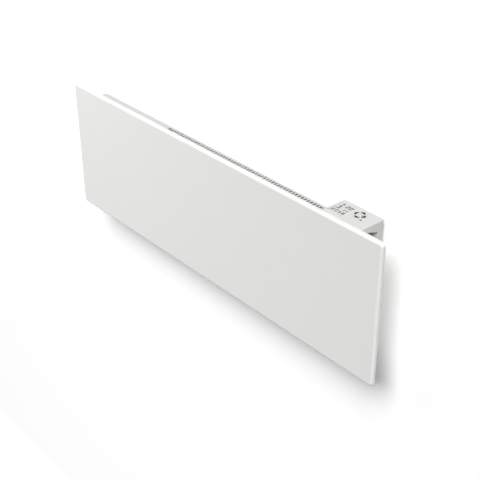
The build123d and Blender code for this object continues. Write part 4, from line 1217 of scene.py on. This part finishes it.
class HEATER_OT_display(bpy.types.Operator):
    """Add the display's digits and small signs."""

    bl_idname = "heater.display"
    bl_label = "Display"

    def execute(self, context):
        make_display_marks()
        make_display_signs()
        return {"FINISHED"}


class HEATER_OT_key_marks(bpy.types.Operator):
    """Print the arrows and the standby sign on the keys."""

    bl_idname = "heater.key_marks"
    bl_label = "Key marks"

    def execute(self, context):
        for name, turn in KEY_TURNS.items():
            make_key_mark(name, turn)
        make_standby_mark()
        return {"FINISHED"}


class HEATER_OT_screws(bpy.types.Operator):
    """Give the visible screws domed heads with cross recesses."""

    bl_idname = "heater.screws"
    bl_label = "Screws"

    def execute(self, context):
        for node_name, head_mm, shank_share, towards in SCREW_KINDS:
            make_screws(node_name, head_mm * MM, shank_share, towards)
        return {"FINISHED"}


class HEATER_OT_gland(bpy.types.Operator):
    """Make the cable gland with its hexagon, ribbed cap, thread and rubber seal."""

    bl_idname = "heater.gland"
    bl_label = "Cable gland"

    def execute(self, context):
        make_gland()
        make_gland_seal()
        return {"FINISHED"}


class HEATER_OT_welds(bpy.types.Operator):
    """Mark the spot welds round the doubler plates on the back."""

    bl_idname = "heater.welds"
    bl_label = "Spot welds"

    def execute(self, context):
        for node_name in DOUBLERS:
            make_spot_welds(node_name)
        return {"FINISHED"}


OPERATORS = (
    HEATER_OT_studio,
    HEATER_OT_finishes,
    HEATER_OT_display,
    HEATER_OT_key_marks,
    HEATER_OT_screws,
    HEATER_OT_gland,
    HEATER_OT_welds,
)


# ---- sidebar and registration ------------------------------------------------------------------
GROUPS = (
    ("heater_colours", HeaterColours),
    ("heater_sizes", HeaterSizes),
    ("heater_studio", HeaterStudio),
)


class HEATER_PT_sidebar(bpy.types.Panel):
    """Heater pieces, finishes and studio."""

    bl_idname = "HEATER_PT_sidebar"
    bl_label = "Wall panel heater"
    bl_space_type = "VIEW_3D"
    bl_region_type = "UI"
    bl_category = "Heater"

    def draw(self, context):
        for group, kind in GROUPS:
            box = self.layout.box()
            for name in kind.__annotations__:
                box.prop(getattr(context.scene, group), name)
        for operator in OPERATORS:
            self.layout.operator(operator.bl_idname)


CLASSES = (*[kind for group, kind in GROUPS], *OPERATORS, HEATER_PT_sidebar)


def register():
    for kind in CLASSES:
        bpy.utils.register_class(kind)
    for group, kind in GROUPS:
        setattr(bpy.types.Scene, group, bpy.props.PointerProperty(type=kind))


def unregister():
    for group, kind in GROUPS:
        delattr(bpy.types.Scene, group)
    for kind in reversed(CLASSES):
        bpy.utils.unregister_class(kind)


def main():
    register()
    for operator in OPERATORS:
        group, name = operator.bl_idname.split(".")
        getattr(getattr(bpy.ops, group), name)()


if __name__ == "__main__":
    main()
